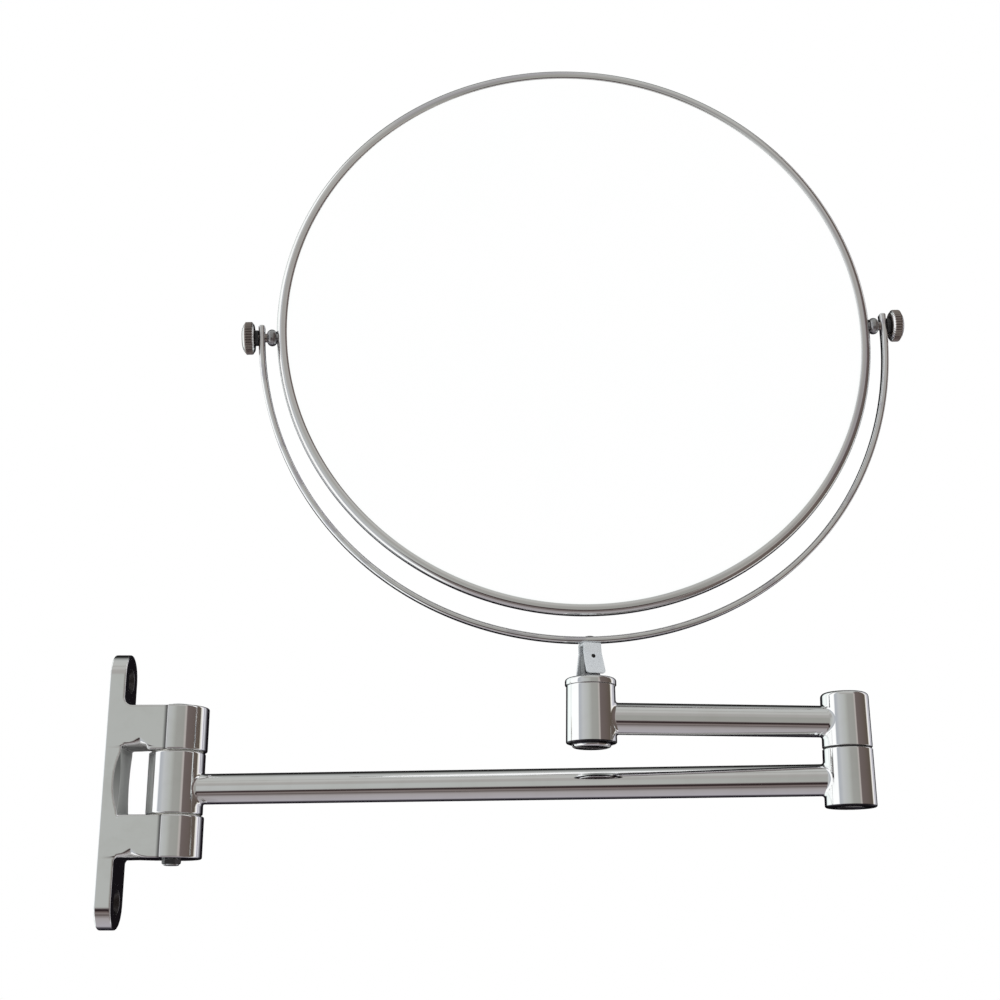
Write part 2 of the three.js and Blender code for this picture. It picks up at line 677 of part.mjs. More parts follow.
const shortArm = frame('short_arm', longArm, LONG_ARM, 0, 0);
shortArm.rotation.z = rad(SHORT_ARM_YAW);
shortArm.add(piece('elbow_upper_barrel', elbowUpperBody(), chrome));
shortArm.add(piece('elbow_pivot_bolt', elbowBoltBody(), steel));
const springTop = ELBOW_BOTTOM + COUNTERBORE_D - RUN;
const springWasher = ringBody(BOLT_HEAD_R, BOLT_R + RUN, springTop - 0.4, springTop, SMALL);
shortArm.add(piece('elbow_spring_washer', springWasher, steel));
const shortTube = tubeBody(SOCKET_FLOOR + RUN, SHORT_ARM - SOCKET_FLOOR - RUN, SHORT_TUBE_Z);
shortArm.add(piece('short_arm_tube', shortTube, chrome));

const front = frame('front', shortArm, SHORT_ARM, 0, 0);
front.add(piece('front_barrel', frontBarrelBody(), chrome));
front.add(piece('front_barrel_cap', capBody(), chrome));

const swivel = frame('swivel', front, 0, 0, 0);
swivel.rotation.z = rad(STEM_YAW);
swivel.add(piece('swivel_stem', stemBody(), steel));
swivel.add(piece('swivel_screw', swivelScrewBody(), chrome));
const recessTop = FRONT_BOTTOM + SWIVEL_RECESS_D - RUN;
const swivelSpring = ringBody(4.6, STEM_R + RUN, recessTop - 0.45, recessTop, SMALL);
swivel.add(piece('swivel_spring_washer', swivelSpring, steel));

const knuckle = frame('knuckle', swivel, 0, 0, KNUCKLE_Z);
knuckle.rotation.y = rad(KNUCKLE_LEAN);
knuckle.add(piece('knuckle_clevis', clevisBody(), steel));
knuckle.add(piece('knuckle_pin', knucklePinBody(), darkChrome));
knuckle.add(piece('yoke_rivet', rivetBody(), steel));

const yoke = frame('yoke_frame', knuckle, 0, 0, 0);
yoke.rotation.z = rad(YOKE_YAW);
const hoop = frame('yoke_arc', yoke, 0, 0, arcZ);
hoop.rotation.y = rad(YOKE_ROLL);
hoop.add(piece('yoke', yokeBody(), chrome));
hoop.add(piece('right_collar', collarBody(), black));
hoop.add(piece('left_collar', collarBody().rotate([0, 0, 180]), black));

const mirror = frame('mirror', hoop, 0, 0, 0);
mirror.rotation.x = rad(MIRROR_TILT);
const rim = frame('rim_frame', mirror, 0, 0, RIM_RISE);
rim.add(piece('mirror_rim', rimBody(), chrome));
rim.add(piece('plain_glass', plainGlassBody(), mirrorGlass));
rim.add(piece('glass_spacer_ring', spacerBody(), card));
rim.add(piece('magnifying_glass', magnifyingGlassBody(), mirrorGlass));
mirror.add(piece('right_pivot_boss', bossBody(), darkChrome));
mirror.add(piece('left_pivot_boss', bossBody().rotate([0, 0, 180]), darkChrome));
mirror.add(piece('right_thumb_screw', thumbScrewBody(), darkChrome));
mirror.add(piece('left_thumb_screw', thumbScrewBody().rotate([0, 0, 180]), darkChrome));

export default root;
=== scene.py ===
"""Looks for an extendable shaving mirror, built around its fixed CAD frame."""

import json
import math

import bpy
import numpy as np
from mathutils import Matrix, Vector


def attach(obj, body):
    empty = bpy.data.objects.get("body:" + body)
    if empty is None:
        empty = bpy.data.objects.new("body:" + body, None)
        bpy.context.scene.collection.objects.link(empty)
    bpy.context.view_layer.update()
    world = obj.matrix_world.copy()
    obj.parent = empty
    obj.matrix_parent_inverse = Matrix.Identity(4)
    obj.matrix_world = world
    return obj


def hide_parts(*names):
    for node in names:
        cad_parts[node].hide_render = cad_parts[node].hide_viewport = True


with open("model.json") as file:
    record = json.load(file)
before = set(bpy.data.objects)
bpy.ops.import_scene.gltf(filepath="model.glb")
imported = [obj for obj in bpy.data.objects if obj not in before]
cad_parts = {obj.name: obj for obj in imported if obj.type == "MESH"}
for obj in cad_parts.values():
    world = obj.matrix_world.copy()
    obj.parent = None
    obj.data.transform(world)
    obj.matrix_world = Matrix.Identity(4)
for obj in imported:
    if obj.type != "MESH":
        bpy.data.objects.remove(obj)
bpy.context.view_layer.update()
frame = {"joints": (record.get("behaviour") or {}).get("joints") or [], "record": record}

MM = 0.001
NODE_BODY = {
    node: body
    for body, nodes in frame["record"]["behaviour"]["bodies"].items()
    for node in nodes
}

# ---- sizes of the real parts, in millimetres ------------------------------

GAP = 0.05  # between faces that touch

# wall bracket
PLATE_HALF_W = 8.25
PLATE_HALF_STRAIGHT = 36.75
PLATE_T = 5.4
SCREW_HOLE_Z = 36.2
SCREW_HOLE_R = 2.3
COUNTERSINK_R = 3.9
CRESCENT_DEEP = 1.5
PIVOT_X = 22.4
LUG_R = 9.8
SHOULDER_X = 20.2
NECK_RELIEF = 1.1
LUG_MID_Z = 1.75
LUG_HALF_GAP = 10.55
UPPER_LUG = (12.3, 27.0)
LOWER_LUG = (-22.5, -8.8)

# wall pin, nut and washers
PIN_R = 2.5
PIN_BORE_R = 2.55
PIN_HEAD_R = 4.2
PIN_HEAD_TALL = 1.0
NUT_R = 3.2
NUT_TALL = 1.6
NYLON_WASHER_R = 8.4
NYLON_WASHER_T = 0.35

# arms
WALL_BARREL_R = 9.3
WALL_BARREL_HALF = 10.1
TUBE_R = 5.0
TUBE_BORE_R = 4.0
BRAZE = 0.8  # the fillet where a tube meets its barrel
WALL_TUBE_START = 5.25
TUBE_START = 4.65
LONG_ARM = 219.0
SHORT_ARM = 81.5
SHORT_TUBE_Z = 18.2

# elbow
ELBOW_BOTTOM = -8.6
ELBOW_SEAM = 9.5
ELBOW_UPPER = 10.05
ELBOW_TOP = 27.3
ELBOW_FOOT_R = 8.1
ELBOW_SEAM_R = 7.85
ELBOW_TOP_R = 7.56
COUNTERBORE_R = 4.4
COUNTERBORE_FLOOR = -6.1
BOLT_HEAD_R = 4.0
BOLT_FOOT = -8.2
BOLT_TOP = 24.6
FIBRE_WASHER_R = 7.55
FIBRE_WASHER_T = 0.45

# front barrel, swivel screw and stem
FRONT_BOTTOM = 10.3
FRONT_TOP = 28.4
FRONT_FOOT_R = 8.0
FRONT_TOP_R = 7.7
CAP_R = 8.1
CAP_TOP = 30.7
SWIVEL_RECESS_R = 6.55
SWIVEL_RECESS_FLOOR = 12.1
SWIVEL_HEAD_R = 6.2
SWIVEL_HEAD_FOOT = 9.0
SWIVEL_HEAD_TOP = 11.55
SWIVEL_SHANK_R = 1.5
SWIVEL_SHANK_TOP = 21.0
SWIVEL_WASHER_R = 4.6
STEM_R = 2.4
STEM_BORE_R = 2.45
STEM_FOOT = 13.0
STEM_FLANGE_R = 3.1
STEM_FLANGE_TOP = 32.2
TONGUE_R = 2.6
TONGUE_HALF_T = 1.6

# knuckle
KNUCKLE_Z = 37.5
KNUCKLE_HOLE_R = 0.65
KNUCKLE_PIN_R = 0.6
KNUCKLE_PIN_HALF = 3.2
CLEVIS_TOP = 4.44
CLEVIS_FOOT = -5.8
CLEVIS_HALF_W = 2.85
CLEVIS_FLARE = 0.3
SHEET_HALF = 0.45
RIVET_R = 1.1
RIVET_HEAD_R = 1.5

# yoke
YOKE_IN = 103.9
YOKE_OUT = 106.0
YOKE_HALF_W = 1.85
YOKE_EDGE = 0.9
YOKE_END_EDGE = 0.35
YOKE_TIP = 4.1
YOKE_FULL_FOOT = 0.38
YOKE_FULL_SIDES = 0.9
ARC_Z = 110.87
COLLAR_R = 2.6
COLLAR_T = 1.15

# mirror and thumb screws
RIM_R = 100.0
RIM_RISE = 1.54
RIM_HALF_T = 2.4
RIM_INSIDE_R = 99.1
ROLL_R = 2.1
LIP_CURL = 0.2
LIP_T = 0.6
GLASS_R = 98.8
GLASS_T = 1.3
GLASS_SAG = 0.8
SPACER_IN_R = 93.0
BOSS_R = 2.8
BOSS_ROUND = 1.65
BOSS_LONG = 3.2
BOSS_PEG_R = 1.5
THUMB_R = 1.45
KNOB_R = 5.4
KNOB_IN = YOKE_OUT + COLLAR_T + 0.1
KNOB_END = KNOB_IN + 4.2
KNOB_TEETH = 36

# ---- frames of the moving bodies in the photographed pose -----------------

LONG_ARM_TURN = -6.9
SHORT_ARM_TURN = 192.4
STEM_TURN = -167.5
KNUCKLE_LEAN = -1.56
YOKE_TURN = -14.57
YOKE_ROLL = -0.93
MIRROR_TIP = -2.53


def shift(x, y, z):
    return Matrix.Translation((x * MM, y * MM, z * MM))


def turn(degrees, axis):
    return Matrix.Rotation(math.radians(degrees), 4, axis)


WALL = Matrix.Identity(4)
PIVOT = shift(PIVOT_X, 0, 0)
LONG = PIVOT @ turn(LONG_ARM_TURN, "Z")
ELBOW = LONG @ shift(LONG_ARM, 0, 0)
SHORT = ELBOW @ turn(SHORT_ARM_TURN, "Z")
FRONT = SHORT @ shift(SHORT_ARM, 0, 0)
SWIVEL = FRONT @ turn(STEM_TURN, "Z")
KNUCKLE = SWIVEL @ shift(0, 0, KNUCKLE_Z) @ turn(KNUCKLE_LEAN, "Y")
HOOP = KNUCKLE @ turn(YOKE_TURN, "Z") @ shift(0, 0, ARC_Z) @ turn(YOKE_ROLL, "Y")
PIVOTS = HOOP @ turn(MIRROR_TIP, "X")
RIM = PIVOTS @ shift(0, 0, RIM_RISE)

for joint, place in (
    ("wall_swing", PIVOT),
    ("elbow_fold", ELBOW),
    ("stem_swivel", FRONT),
    ("knuckle_tilt", KNUCKLE),
    ("mirror_flip", PIVOTS),
):
    found = [j for j in frame["joints"] if j["name"] == joint][0]
    off = place.translation - Vector(found["pos_m"])
    if joint in ("elbow_fold", "stem_swivel"):  # stated at another height of the same upright axis
        off.z = 0
    if off.length > 0.1 * MM:
        raise ValueError(f"the frame of {joint} is not where the record has it")

# ---- node graphs ----------------------------------------------------------


def linear(*rgb):
    """A colour given as 0-255 display values, as a linear RGBA tuple."""
    values = []
    for c in rgb:
        c = c / 255
        values.append(c / 12.92 if c <= 0.04045 else ((c + 0.055) / 1.055) ** 2.4)
    return (*values, 1.0)


class Graph:
    """Short names for making and joining shader nodes."""

    def __init__(self, tree):
        self.tree = tree
        tree.nodes.clear()

    def add(self, kind, inputs=None, **settings):
        node = self.tree.nodes.new(kind)
        for key, value in settings.items():
            setattr(node, key, value)
        for key, value in (inputs or {}).items():
            if isinstance(value, bpy.types.NodeSocket):
                self.tree.links.new(value, node.inputs[key])
            else:
                node.inputs[key].default_value = value
        return node

    def math(self, operation, *values, clamp=False):
        inputs = dict(enumerate(values))
        return self.add("ShaderNodeMath", inputs, operation=operation, use_clamp=clamp).outputs[0]

    def split(self, vector):
        return self.add("ShaderNodeSeparateXYZ", {"Vector": vector}).outputs

    def times(self, a, b):
        return self.math("MULTIPLY", a, b)

    def hypot(self, a, b):
        return self.math("SQRT", self.math("ADD", self.times(a, a), self.times(b, b)))

    def ramp(self, factor, stops):
        node = self.add("ShaderNodeValToRGB", {"Fac": factor})
        points = node.color_ramp.elements
        while len(points) < len(stops):
            points.new(0.5)
        for point, (position, color) in zip(points, sorted(stops)):
            point.position = position
            point.color = color
        return node.outputs["Color"]

    def map(self, value, low, high, to_low, to_high, smooth=True):
        node = self.add(
            "ShaderNodeMapRange",
            {"Value": value, "From Min": low, "From Max": high, "To Min": to_low, "To Max": to_high},
            interpolation_type="SMOOTHSTEP" if smooth else "LINEAR",
        )
        return node.outputs["Result"]

    def rise(self, length, low, high):
        """0 to 1 as a length in metres passes between two in millimetres."""
        return self.map(length, low * MM, high * MM, 0.0, 1.0)

    def fall(self, length, low, high):
        """1 to 0 in the same way."""
        return self.map(length, low * MM, high * MM, 1.0, 0.0)

    def between(self, length, low, high, soft=0.3):
        """1 where a length in metres lies between two in millimetres, with soft ends."""
        return self.times(
            self.rise(length, low - soft, low + soft), self.fall(length, high - soft, high + soft)
        )

    def mix(self, factor, a, b):
        node = self.add("ShaderNodeMix", data_type="RGBA")
        sockets = [s for s in node.inputs if s.enabled]
        for socket, value in zip(sockets, (factor, a, b)):
            if isinstance(value, bpy.types.NodeSocket):
                self.tree.links.new(value, socket)
            else:
                socket.default_value = value
        return [s for s in node.outputs if s.enabled][0]

    def noise(self, vector, scale, detail, roughness, distortion=0.0):
        inputs = {"Vector": vector, "Scale": scale, "Detail": detail, "Roughness": roughness}
        inputs["Distortion"] = distortion
        return self.add("ShaderNodeTexNoise", inputs).outputs["Fac"]

    def stretched(self, stretch):
        """Object coordinates in metres, scaled per axis."""
        source = self.add("ShaderNodeTexCoord").outputs["Object"]
        return self.add("ShaderNodeMapping", {"Vector": source, "Scale": stretch}).outputs["Vector"]

    def ringed(self, axis):
        """Coordinates that change along one axis and only slowly round it, as turning marks do."""
        source = self.add("ShaderNodeTexCoord").outputs["Object"]
        parts = self.split(source)
        others = [parts[a] for a in "XYZ" if a != axis]
        drift = self.math("ADD", *[self.times(o, 0.03) for o in others])
        joined = {"X": parts[axis], "Y": self.hypot(*others), "Z": drift}
        return self.add("ShaderNodeCombineXYZ", joined).outputs["Vector"]


def material(name):
    made = bpy.data.materials.new(name)
    made.use_nodes = True
    return made, Graph(made.node_tree)


def finish_shader(graph, color, roughness, metallic, normal=None):
    inputs = {"Base Color": color, "Roughness": roughness, "Metallic": metallic}
    if normal is not None:
        inputs["Normal"] = normal
    shader = graph.add("ShaderNodeBsdfPrincipled", inputs)
    graph.add("ShaderNodeOutputMaterial", {"Surface": shader.outputs["BSDF"]})


def plated(name, tones, rough, marks, grain, soil, haze=900.0, metallic=1.0, extra=None):
    """Plated or polished metal: faint polishing marks along or round the piece, and hazy patches."""
    made, g = material(name)
    if marks.startswith("ring"):
        fine_space = g.ringed(marks[-1])
        line_scale = 9000.0
    else:
        long_way = {"X": (0.02, 1, 1), "Z": (1, 1, 0.02), "none": (1, 1, 1)}[marks]
        fine_space = g.stretched(long_way)
        line_scale = 5200.0
    broad = g.stretched((1, 1, 1))
    lines = g.noise(fine_space, line_scale, 3.0, 0.6)
    patches = g.noise(broad, haze * 0.12, 4.0, 0.62, 0.4)
    specks = g.noise(broad, haze * 2.6, 2.0, 0.5)
    spots = g.map(specks, 0.66, 0.76, 0.0, 1.0)
    haze_amount = g.map(patches, 0.42, 0.7, 0.0, 1.0)
    soiling = g.math("ADD", g.times(haze_amount, soil), g.times(spots, soil * 0.35), clamp=True)
    color = g.mix(soiling, *tones)
    roughness = g.map(haze_amount, 0.0, 1.0, rough, rough * 1.8 + 0.01, smooth=False)
    roughness = g.math("ADD", roughness, g.times(lines, rough * 0.5))
    if extra:
        color, roughness, metallic = extra(g, broad, color, roughness)
    bump = g.add("ShaderNodeBump", {"Strength": grain, "Distance": 0.05 * MM, "Height": lines})
    finish_shader(g, color, roughness, metallic, bump.outputs["Normal"])
    return made


def bracket_finish_and_shade(g, space, color, roughness):
    """Bare casting between the lugs and at their roots, and dull screw holes, with painted shade along
    each drum's step, over the roots, in the holes and in the crescent hollow.
    """
    parts = g.split(space)
    aside = g.math("ABSOLUTE", parts["Y"])
    mottle = g.noise(space, 1400.0, 3.0, 0.6)

    # painted shade: a dark line along each drum's step, where the neck meets the drum
    step = g.times(g.between(parts["X"], SHOULDER_X - 1.0, SHOULDER_X + 0.1, 0.6), g.rise(aside, 7.8, 8.1))
    color = g.mix(g.times(step, 0.9), color, (0.12, 0.115, 0.12, 1))

    web = g.times(
        g.between(parts["X"], 3.0, 6.0), g.between(parts["Z"], LOWER_LUG[1] + 0.3, UPPER_LUG[0] + 0.7, 0.6)
    )
    web = g.times(web, g.fall(aside, 7.9, 8.2))
    cast = g.mix(mottle, (0.34, 0.35, 0.34, 1), (0.42, 0.43, 0.42, 1))
    # painted shadow in the crescent hollow, darker towards the upper lug; the front face keeps the plain
    # cast tone
    height = g.rise(parts["Z"], LOWER_LUG[1] + 0.8, UPPER_LUG[0] - 1.3)
    worn_and_shaded = g.mix(height, (0.24, 0.245, 0.24, 1), (0.11, 0.115, 0.11, 1))
    scoop = g.fall(parts["X"], PLATE_T - 0.15, PLATE_T - 0.05)
    color = g.mix(web, color, g.mix(scoop, cast, worn_and_shaded))

    # painted shade over the hollow at each lug's root
    roots = g.math(
        "ADD",
        g.between(parts["Z"], UPPER_LUG[0] - 1.1, UPPER_LUG[0] + 4.7),
        g.between(parts["Z"], LOWER_LUG[0] + 0.3, LOWER_LUG[0] + 4.0),
    )
    roots = g.times(roots, g.between(parts["X"], 5.5, 16.5, 0.6))
    roots = g.times(roots, g.fall(aside, 7.0, 8.1))
    color = g.mix(roots, color, g.mix(mottle, (0.17, 0.165, 0.165, 1), (0.25, 0.245, 0.24, 1)))

    # painted shade in the countersunk screw holes
    from_hole = g.math("SUBTRACT", g.math("ABSOLUTE", parts["Z"]), SCREW_HOLE_Z * MM)
    hole = g.fall(g.hypot(from_hole, parts["Y"]), COUNTERSINK_R - 0.1, COUNTERSINK_R + 0.3)
    color = g.mix(hole, color, (0.07, 0.065, 0.065, 1))

    bare = g.math("MAXIMUM", web, roots)
    dull = g.math("ADD", g.times(bare, 0.4), g.times(hole, 0.35))
    return color, g.math("ADD", roughness, dull), g.math("SUBTRACT", 1.0, g.times(bare, 0.75))


def shaded_band(low, high):
    """A look with painted shade: a dark band between two heights."""

    def look(g, space, color, roughness):
        band = g.between(g.split(space)["Z"], low, high, 0.08)
        color = g.mix(band, color, (0.045, 0.04, 0.05, 1))
        return color, g.math("ADD", roughness, g.times(band, 0.15)), 1.0

    return look


def plug_shade_and_highlight(g, space, color, roughness):
    """Painted shade in the gap round the screw's head, with a painted highlight on the edge of the face
    below it.
    """
    face_top = SWIVEL_HEAD_FOOT + 0.8
    # painted shade in the gap round the head
    color, roughness, metal = shaded_band(face_top, SWIVEL_HEAD_TOP + 0.95)(g, space, color, roughness)
    parts = g.split(space)
    # painted highlight round the edge of the head's face
    edge = g.between(g.hypot(parts["X"], parts["Y"]), SWIVEL_HEAD_R - 0.8, SWIVEL_HEAD_R + 0.1, 0.1)
    edge = g.times(edge, g.fall(parts["Z"], face_top - 0.2, face_top))
    return g.mix(edge, color, (0.97, 0.97, 0.98, 1)), roughness, metal


def streaked(round_y):
    """Long soft bands of lighter and lilac tone along a bent bar, as thin plating shows."""

    def look(g, space, color, roughness):
        long_way = g.ringed("Y") if round_y else g.stretched((0.35, 3.0, 0.35))
        bands = g.noise(long_way, 420.0, 3.0, 0.55, 0.3)
        color = g.mix(g.map(bands, 0.47, 0.62, 0.0, 0.5), color, (1.0, 1.0, 1.0, 1))
        return g.mix(g.map(bands, 0.46, 0.36, 0.0, 0.55), color, (0.66, 0.63, 0.72, 1)), roughness, 1.0

    return look


def knob_chamfer_highlight(g, space, color, roughness):
    """Painted highlights on the turned chamfers at both ends of the dark knurling."""
    along = g.math("ABSOLUTE", g.split(space)["X"])
    # painted highlight on the chamfer at each end of the knob
    inner = g.between(along, KNOB_IN + 0.1, KNOB_IN + 0.6, 0.08)
    outer = g.between(along, KNOB_END - 1.0, KNOB_END - 0.45, 0.08)
    return g.mix(g.math("MAXIMUM", inner, outer), color, (0.93, 0.93, 0.94, 1)), roughness, 1.0


def fibre(name, base, worn_and_shaded, rough):
    """Pressed fibre, card or nylon: mottled, matt, finely pitted."""
    made, g = material(name)
    space = g.stretched((1, 1, 1))
    mottled = g.noise(space, 700.0, 5.0, 0.65)
    pits = g.noise(space, 5200.0, 3.0, 0.55)
    color = g.mix(g.map(mottled, 0.35, 0.7, 0.0, 1.0), base, worn_and_shaded)
    roughness = g.map(pits, 0.3, 0.7, rough - 0.12, rough + 0.12, smooth=False)
    bump = g.add("ShaderNodeBump", {"Strength": 0.25, "Distance": 0.06 * MM, "Height": pits})
    finish_shader(g, color, roughness, 0.0, bump.outputs["Normal"])
    return made


def silvered(name):
    """Silvered glass: a bright true mirror, barely greener towards its edge."""
    made, g = material(name)
    space = g.stretched((1, 1, 1))
    wipe = g.noise(space, 26.0, 3.0, 0.55, 0.8)
    parts = g.split(space)
    edge = g.times(g.rise(g.hypot(parts["X"], parts["Z"]), GLASS_R - 3.3, GLASS_R - 1.6), 0.5)
    clean = g.mix(g.map(wipe, 0.3, 0.75, 0.0, 1.0), (0.999, 0.999, 0.999, 1), (0.995, 0.997, 0.997, 1))
    finish_shader(g, g.mix(edge, clean, (0.9, 0.94, 0.93, 1)), 0.0, 1.0)
    return made


# the polished tone and the hazy or soiled one of each metal
CHROME = ((0.94, 0.945, 0.95, 1), (0.80, 0.79, 0.77, 1))
RIM_CHROME = ((0.9, 0.9, 0.9, 1), (0.80, 0.79, 0.77, 1))
BROWNED_CHROME = ((0.42, 0.37, 0.345, 1), (0.24, 0.2, 0.185, 1))
DULL_CHROME = ((0.5, 0.5, 0.51, 1), (0.34, 0.33, 0.33, 1))
DARK_PLUG = ((0.3, 0.29, 0.31, 1), (0.16, 0.15, 0.17, 1))
DARK_STEM = ((0.3, 0.3, 0.31, 1), (0.16, 0.16, 0.16, 1))
SATIN = ((0.60, 0.63, 0.655, 1), (0.45, 0.475, 0.5, 1))
DARK_STEEL = ((0.07, 0.066, 0.07, 1), (0.035, 0.033, 0.034, 1))
ZINC = ((0.62, 0.63, 0.65, 1), (0.45, 0.45, 0.44, 1))
# painted shade in a dark band round the foot of the elbow and front barrels
ELBOW_FOOT = shaded_band(ELBOW_BOTTOM - 0.9, ELBOW_BOTTOM + 0.5)
FRONT_FOOT = shaded_band(FRONT_BOTTOM - 0.8, FRONT_BOTTOM + 0.4)
# each: name, tones, roughness, direction of the marks, their depth, how soiled, how fine the haze
LOOKS = {
    "bracket": plated("bracket_casting", CHROME, 0.06, "none", 0.03, 0.3, 700.0, extra=bracket_finish_and_shade),
    "barrel": plated("chrome_barrel", CHROME, 0.03, "ring Z", 0.012, 0.22),
    "elbow_barrel": plated("chrome_elbow", CHROME, 0.03, "ring Z", 0.012, 0.22, extra=ELBOW_FOOT),
    "front_barrel": plated("chrome_front", CHROME, 0.03, "ring Z", 0.012, 0.22, extra=FRONT_FOOT),
    "plug": plated("dark_plug", DARK_PLUG, 0.08, "ring Z", 0.02, 0.3, extra=plug_shade_and_highlight),
    "stem": plated("dark_stem", DARK_STEM, 0.3, "Z", 0.1, 0.4),
    "tube": plated("chrome_tube", CHROME, 0.035, "X", 0.02, 0.22),
    "rim": plated("chrome_rim", RIM_CHROME, 0.09, "ring Y", 0.02, 0.25, 500.0, extra=streaked(True)),
    "bar": plated("chrome_bar", CHROME, 0.06, "none", 0.02, 0.2, 600.0, extra=streaked(False)),
    "satin": plated("satin_steel", SATIN, 0.38, "Z", 0.14, 0.35, metallic=0.5),
    "knurl": plated("dark_knurled_chrome", BROWNED_CHROME, 0.16, "X", 0.05, 0.5, extra=knob_chamfer_highlight),
    "boss": plated("dull_chrome", DULL_CHROME, 0.18, "ring X", 0.05, 0.4),
    "dark_steel": plated("dark_steel", DARK_STEEL, 0.25, "ring Z", 0.08, 0.5),
    "zinc": plated("zinc_plated_steel", ZINC, 0.22, "ring Z", 0.08, 0.4),
    "black": fibre("black_fibre", linear(22, 21, 22), linear(38, 37, 38), 0.5),
    "nylon": fibre("natural_nylon", linear(205, 204, 198), linear(184, 182, 174), 0.45),
    "card": fibre("grey_card", linear(120, 118, 112), linear(146, 143, 136), 0.85),
    "glass": silvered("silvered_glass"),
}

# ---- mesh making ----------------------------------------------------------


def add_object(name, data):
    obj = bpy.data.objects.new(name, data)
    bpy.context.scene.collection.objects.link(obj)
    return obj


def piece(node, shape, place, look, sharp=38.0, normals=None, level=False):
    """One finished piece in its body's frame, standing for the CAD node of the same name."""
    verts, faces = shape
    mesh = bpy.data.meshes.new(node + "_finished")
    mesh.from_pydata([tuple(v) for v in np.asarray(verts) * MM], [], faces)
    mesh.validate()
    mesh.materials.append(LOOKS[look])
    mesh.shade_smooth()
    if normals is not None:
        mesh.normals_split_custom_set_from_vertices([tuple(n) for n in normals])
    else:
        mesh.set_sharp_from_angle(angle=math.radians(sharp))
    obj = add_object(node + "_finished", mesh)
    obj.matrix_world = place
    if level:
        weighted = obj.modifiers.new("even_shading", "WEIGHTED_NORMAL")
        weighted.keep_sharp = True
    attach(obj, NODE_BODY[node])
    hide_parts(node)
    return obj


def arc(r, z, radius, start, end, steps):
    """Points on an arc round (r, z), with angles in degrees from +r towards +z."""
    angles = np.radians(np.linspace(start, end, steps + 1))
    return [(r + radius * math.cos(a), z + radius * math.sin(a)) for a in angles]


def lathe(profile, segments=128, axis="Z", wave=None):
    """A turned surface from [radius, height] points; radius 0 closes it on the axis."""
    angles = np.linspace(0, 2 * math.pi, segments, endpoint=False)
    verts, rings = [], []
    for r, h in profile:
        if r < 1e-9:
            rings.append([len(verts)])
            verts.append((0.0, 0.0, h))
            continue
        radii = np.full(segments, r) if wave is None else wave(angles, r, h)
        rings.append(list(range(len(verts), len(verts) + segments)))
        verts.extend(zip(radii * np.cos(angles), radii * np.sin(angles), np.full(segments, h)))
    pairs = list(zip(rings[:-1], rings[1:]))
    if profile[0][0] > 1e-9:
        pairs.append((rings[-1], rings[0]))
    faces = []
    for a, b in pairs:
        for i in range(segments):
            j = (i + 1) % segments
            if len(a) == 1 and len(b) == 1:
                break
            if len(a) == 1:
                faces.append((a[0], b[i], b[j]))
            elif len(b) == 1:
                faces.append((a[j], a[i], b[0]))
            else:
                faces.append((a[i], b[i], b[j], a[j]))
    verts = np.array(verts)
    if signed_volume(verts, faces) < 0:
        faces = [tuple(reversed(f)) for f in faces]
    if axis == "X":
        verts = verts[:, [2, 0, 1]]
    elif axis == "Y":
        verts = verts[:, [1, 2, 0]]
    return verts, faces


def signed_volume(verts, faces):
    total = 0.0
    for face in faces:
        for k in range(1, len(face) - 1):
            a, b, c = verts[face[0]], verts[face[k]], verts[face[k + 1]]
            total += a[0] * (b[1] * c[2] - b[2] * c[1])
            total += a[1] * (b[2] * c[0] - b[0] * c[2])
            total += a[2] * (b[0] * c[1] - b[1] * c[0])
    return total


# distance fields: negative inside, millimetres


def meet(a, b, radius):
    """Both at once, with a convex rounded edge."""
    return np.minimum(-radius, np.maximum(a, b)) + np.hypot(
        np.maximum(a + radius, 0), np.maximum(b + radius, 0)
    )


def join(a, b, radius):
    """Either one, with a concave fillet in the corner."""
    return np.maximum(radius, np.minimum(a, b)) - np.hypot(
        np.maximum(radius - a, 0), np.maximum(radius - b, 0)
    )


def cut(a, b, radius):
    """The first less the second, with a rounded edge."""
    return meet(a, -b, radius)


def smooth(low, high, value):
    t = np.clip((value - low) / (high - low), 0, 1)
    return t * t * (3 - 2 * t)


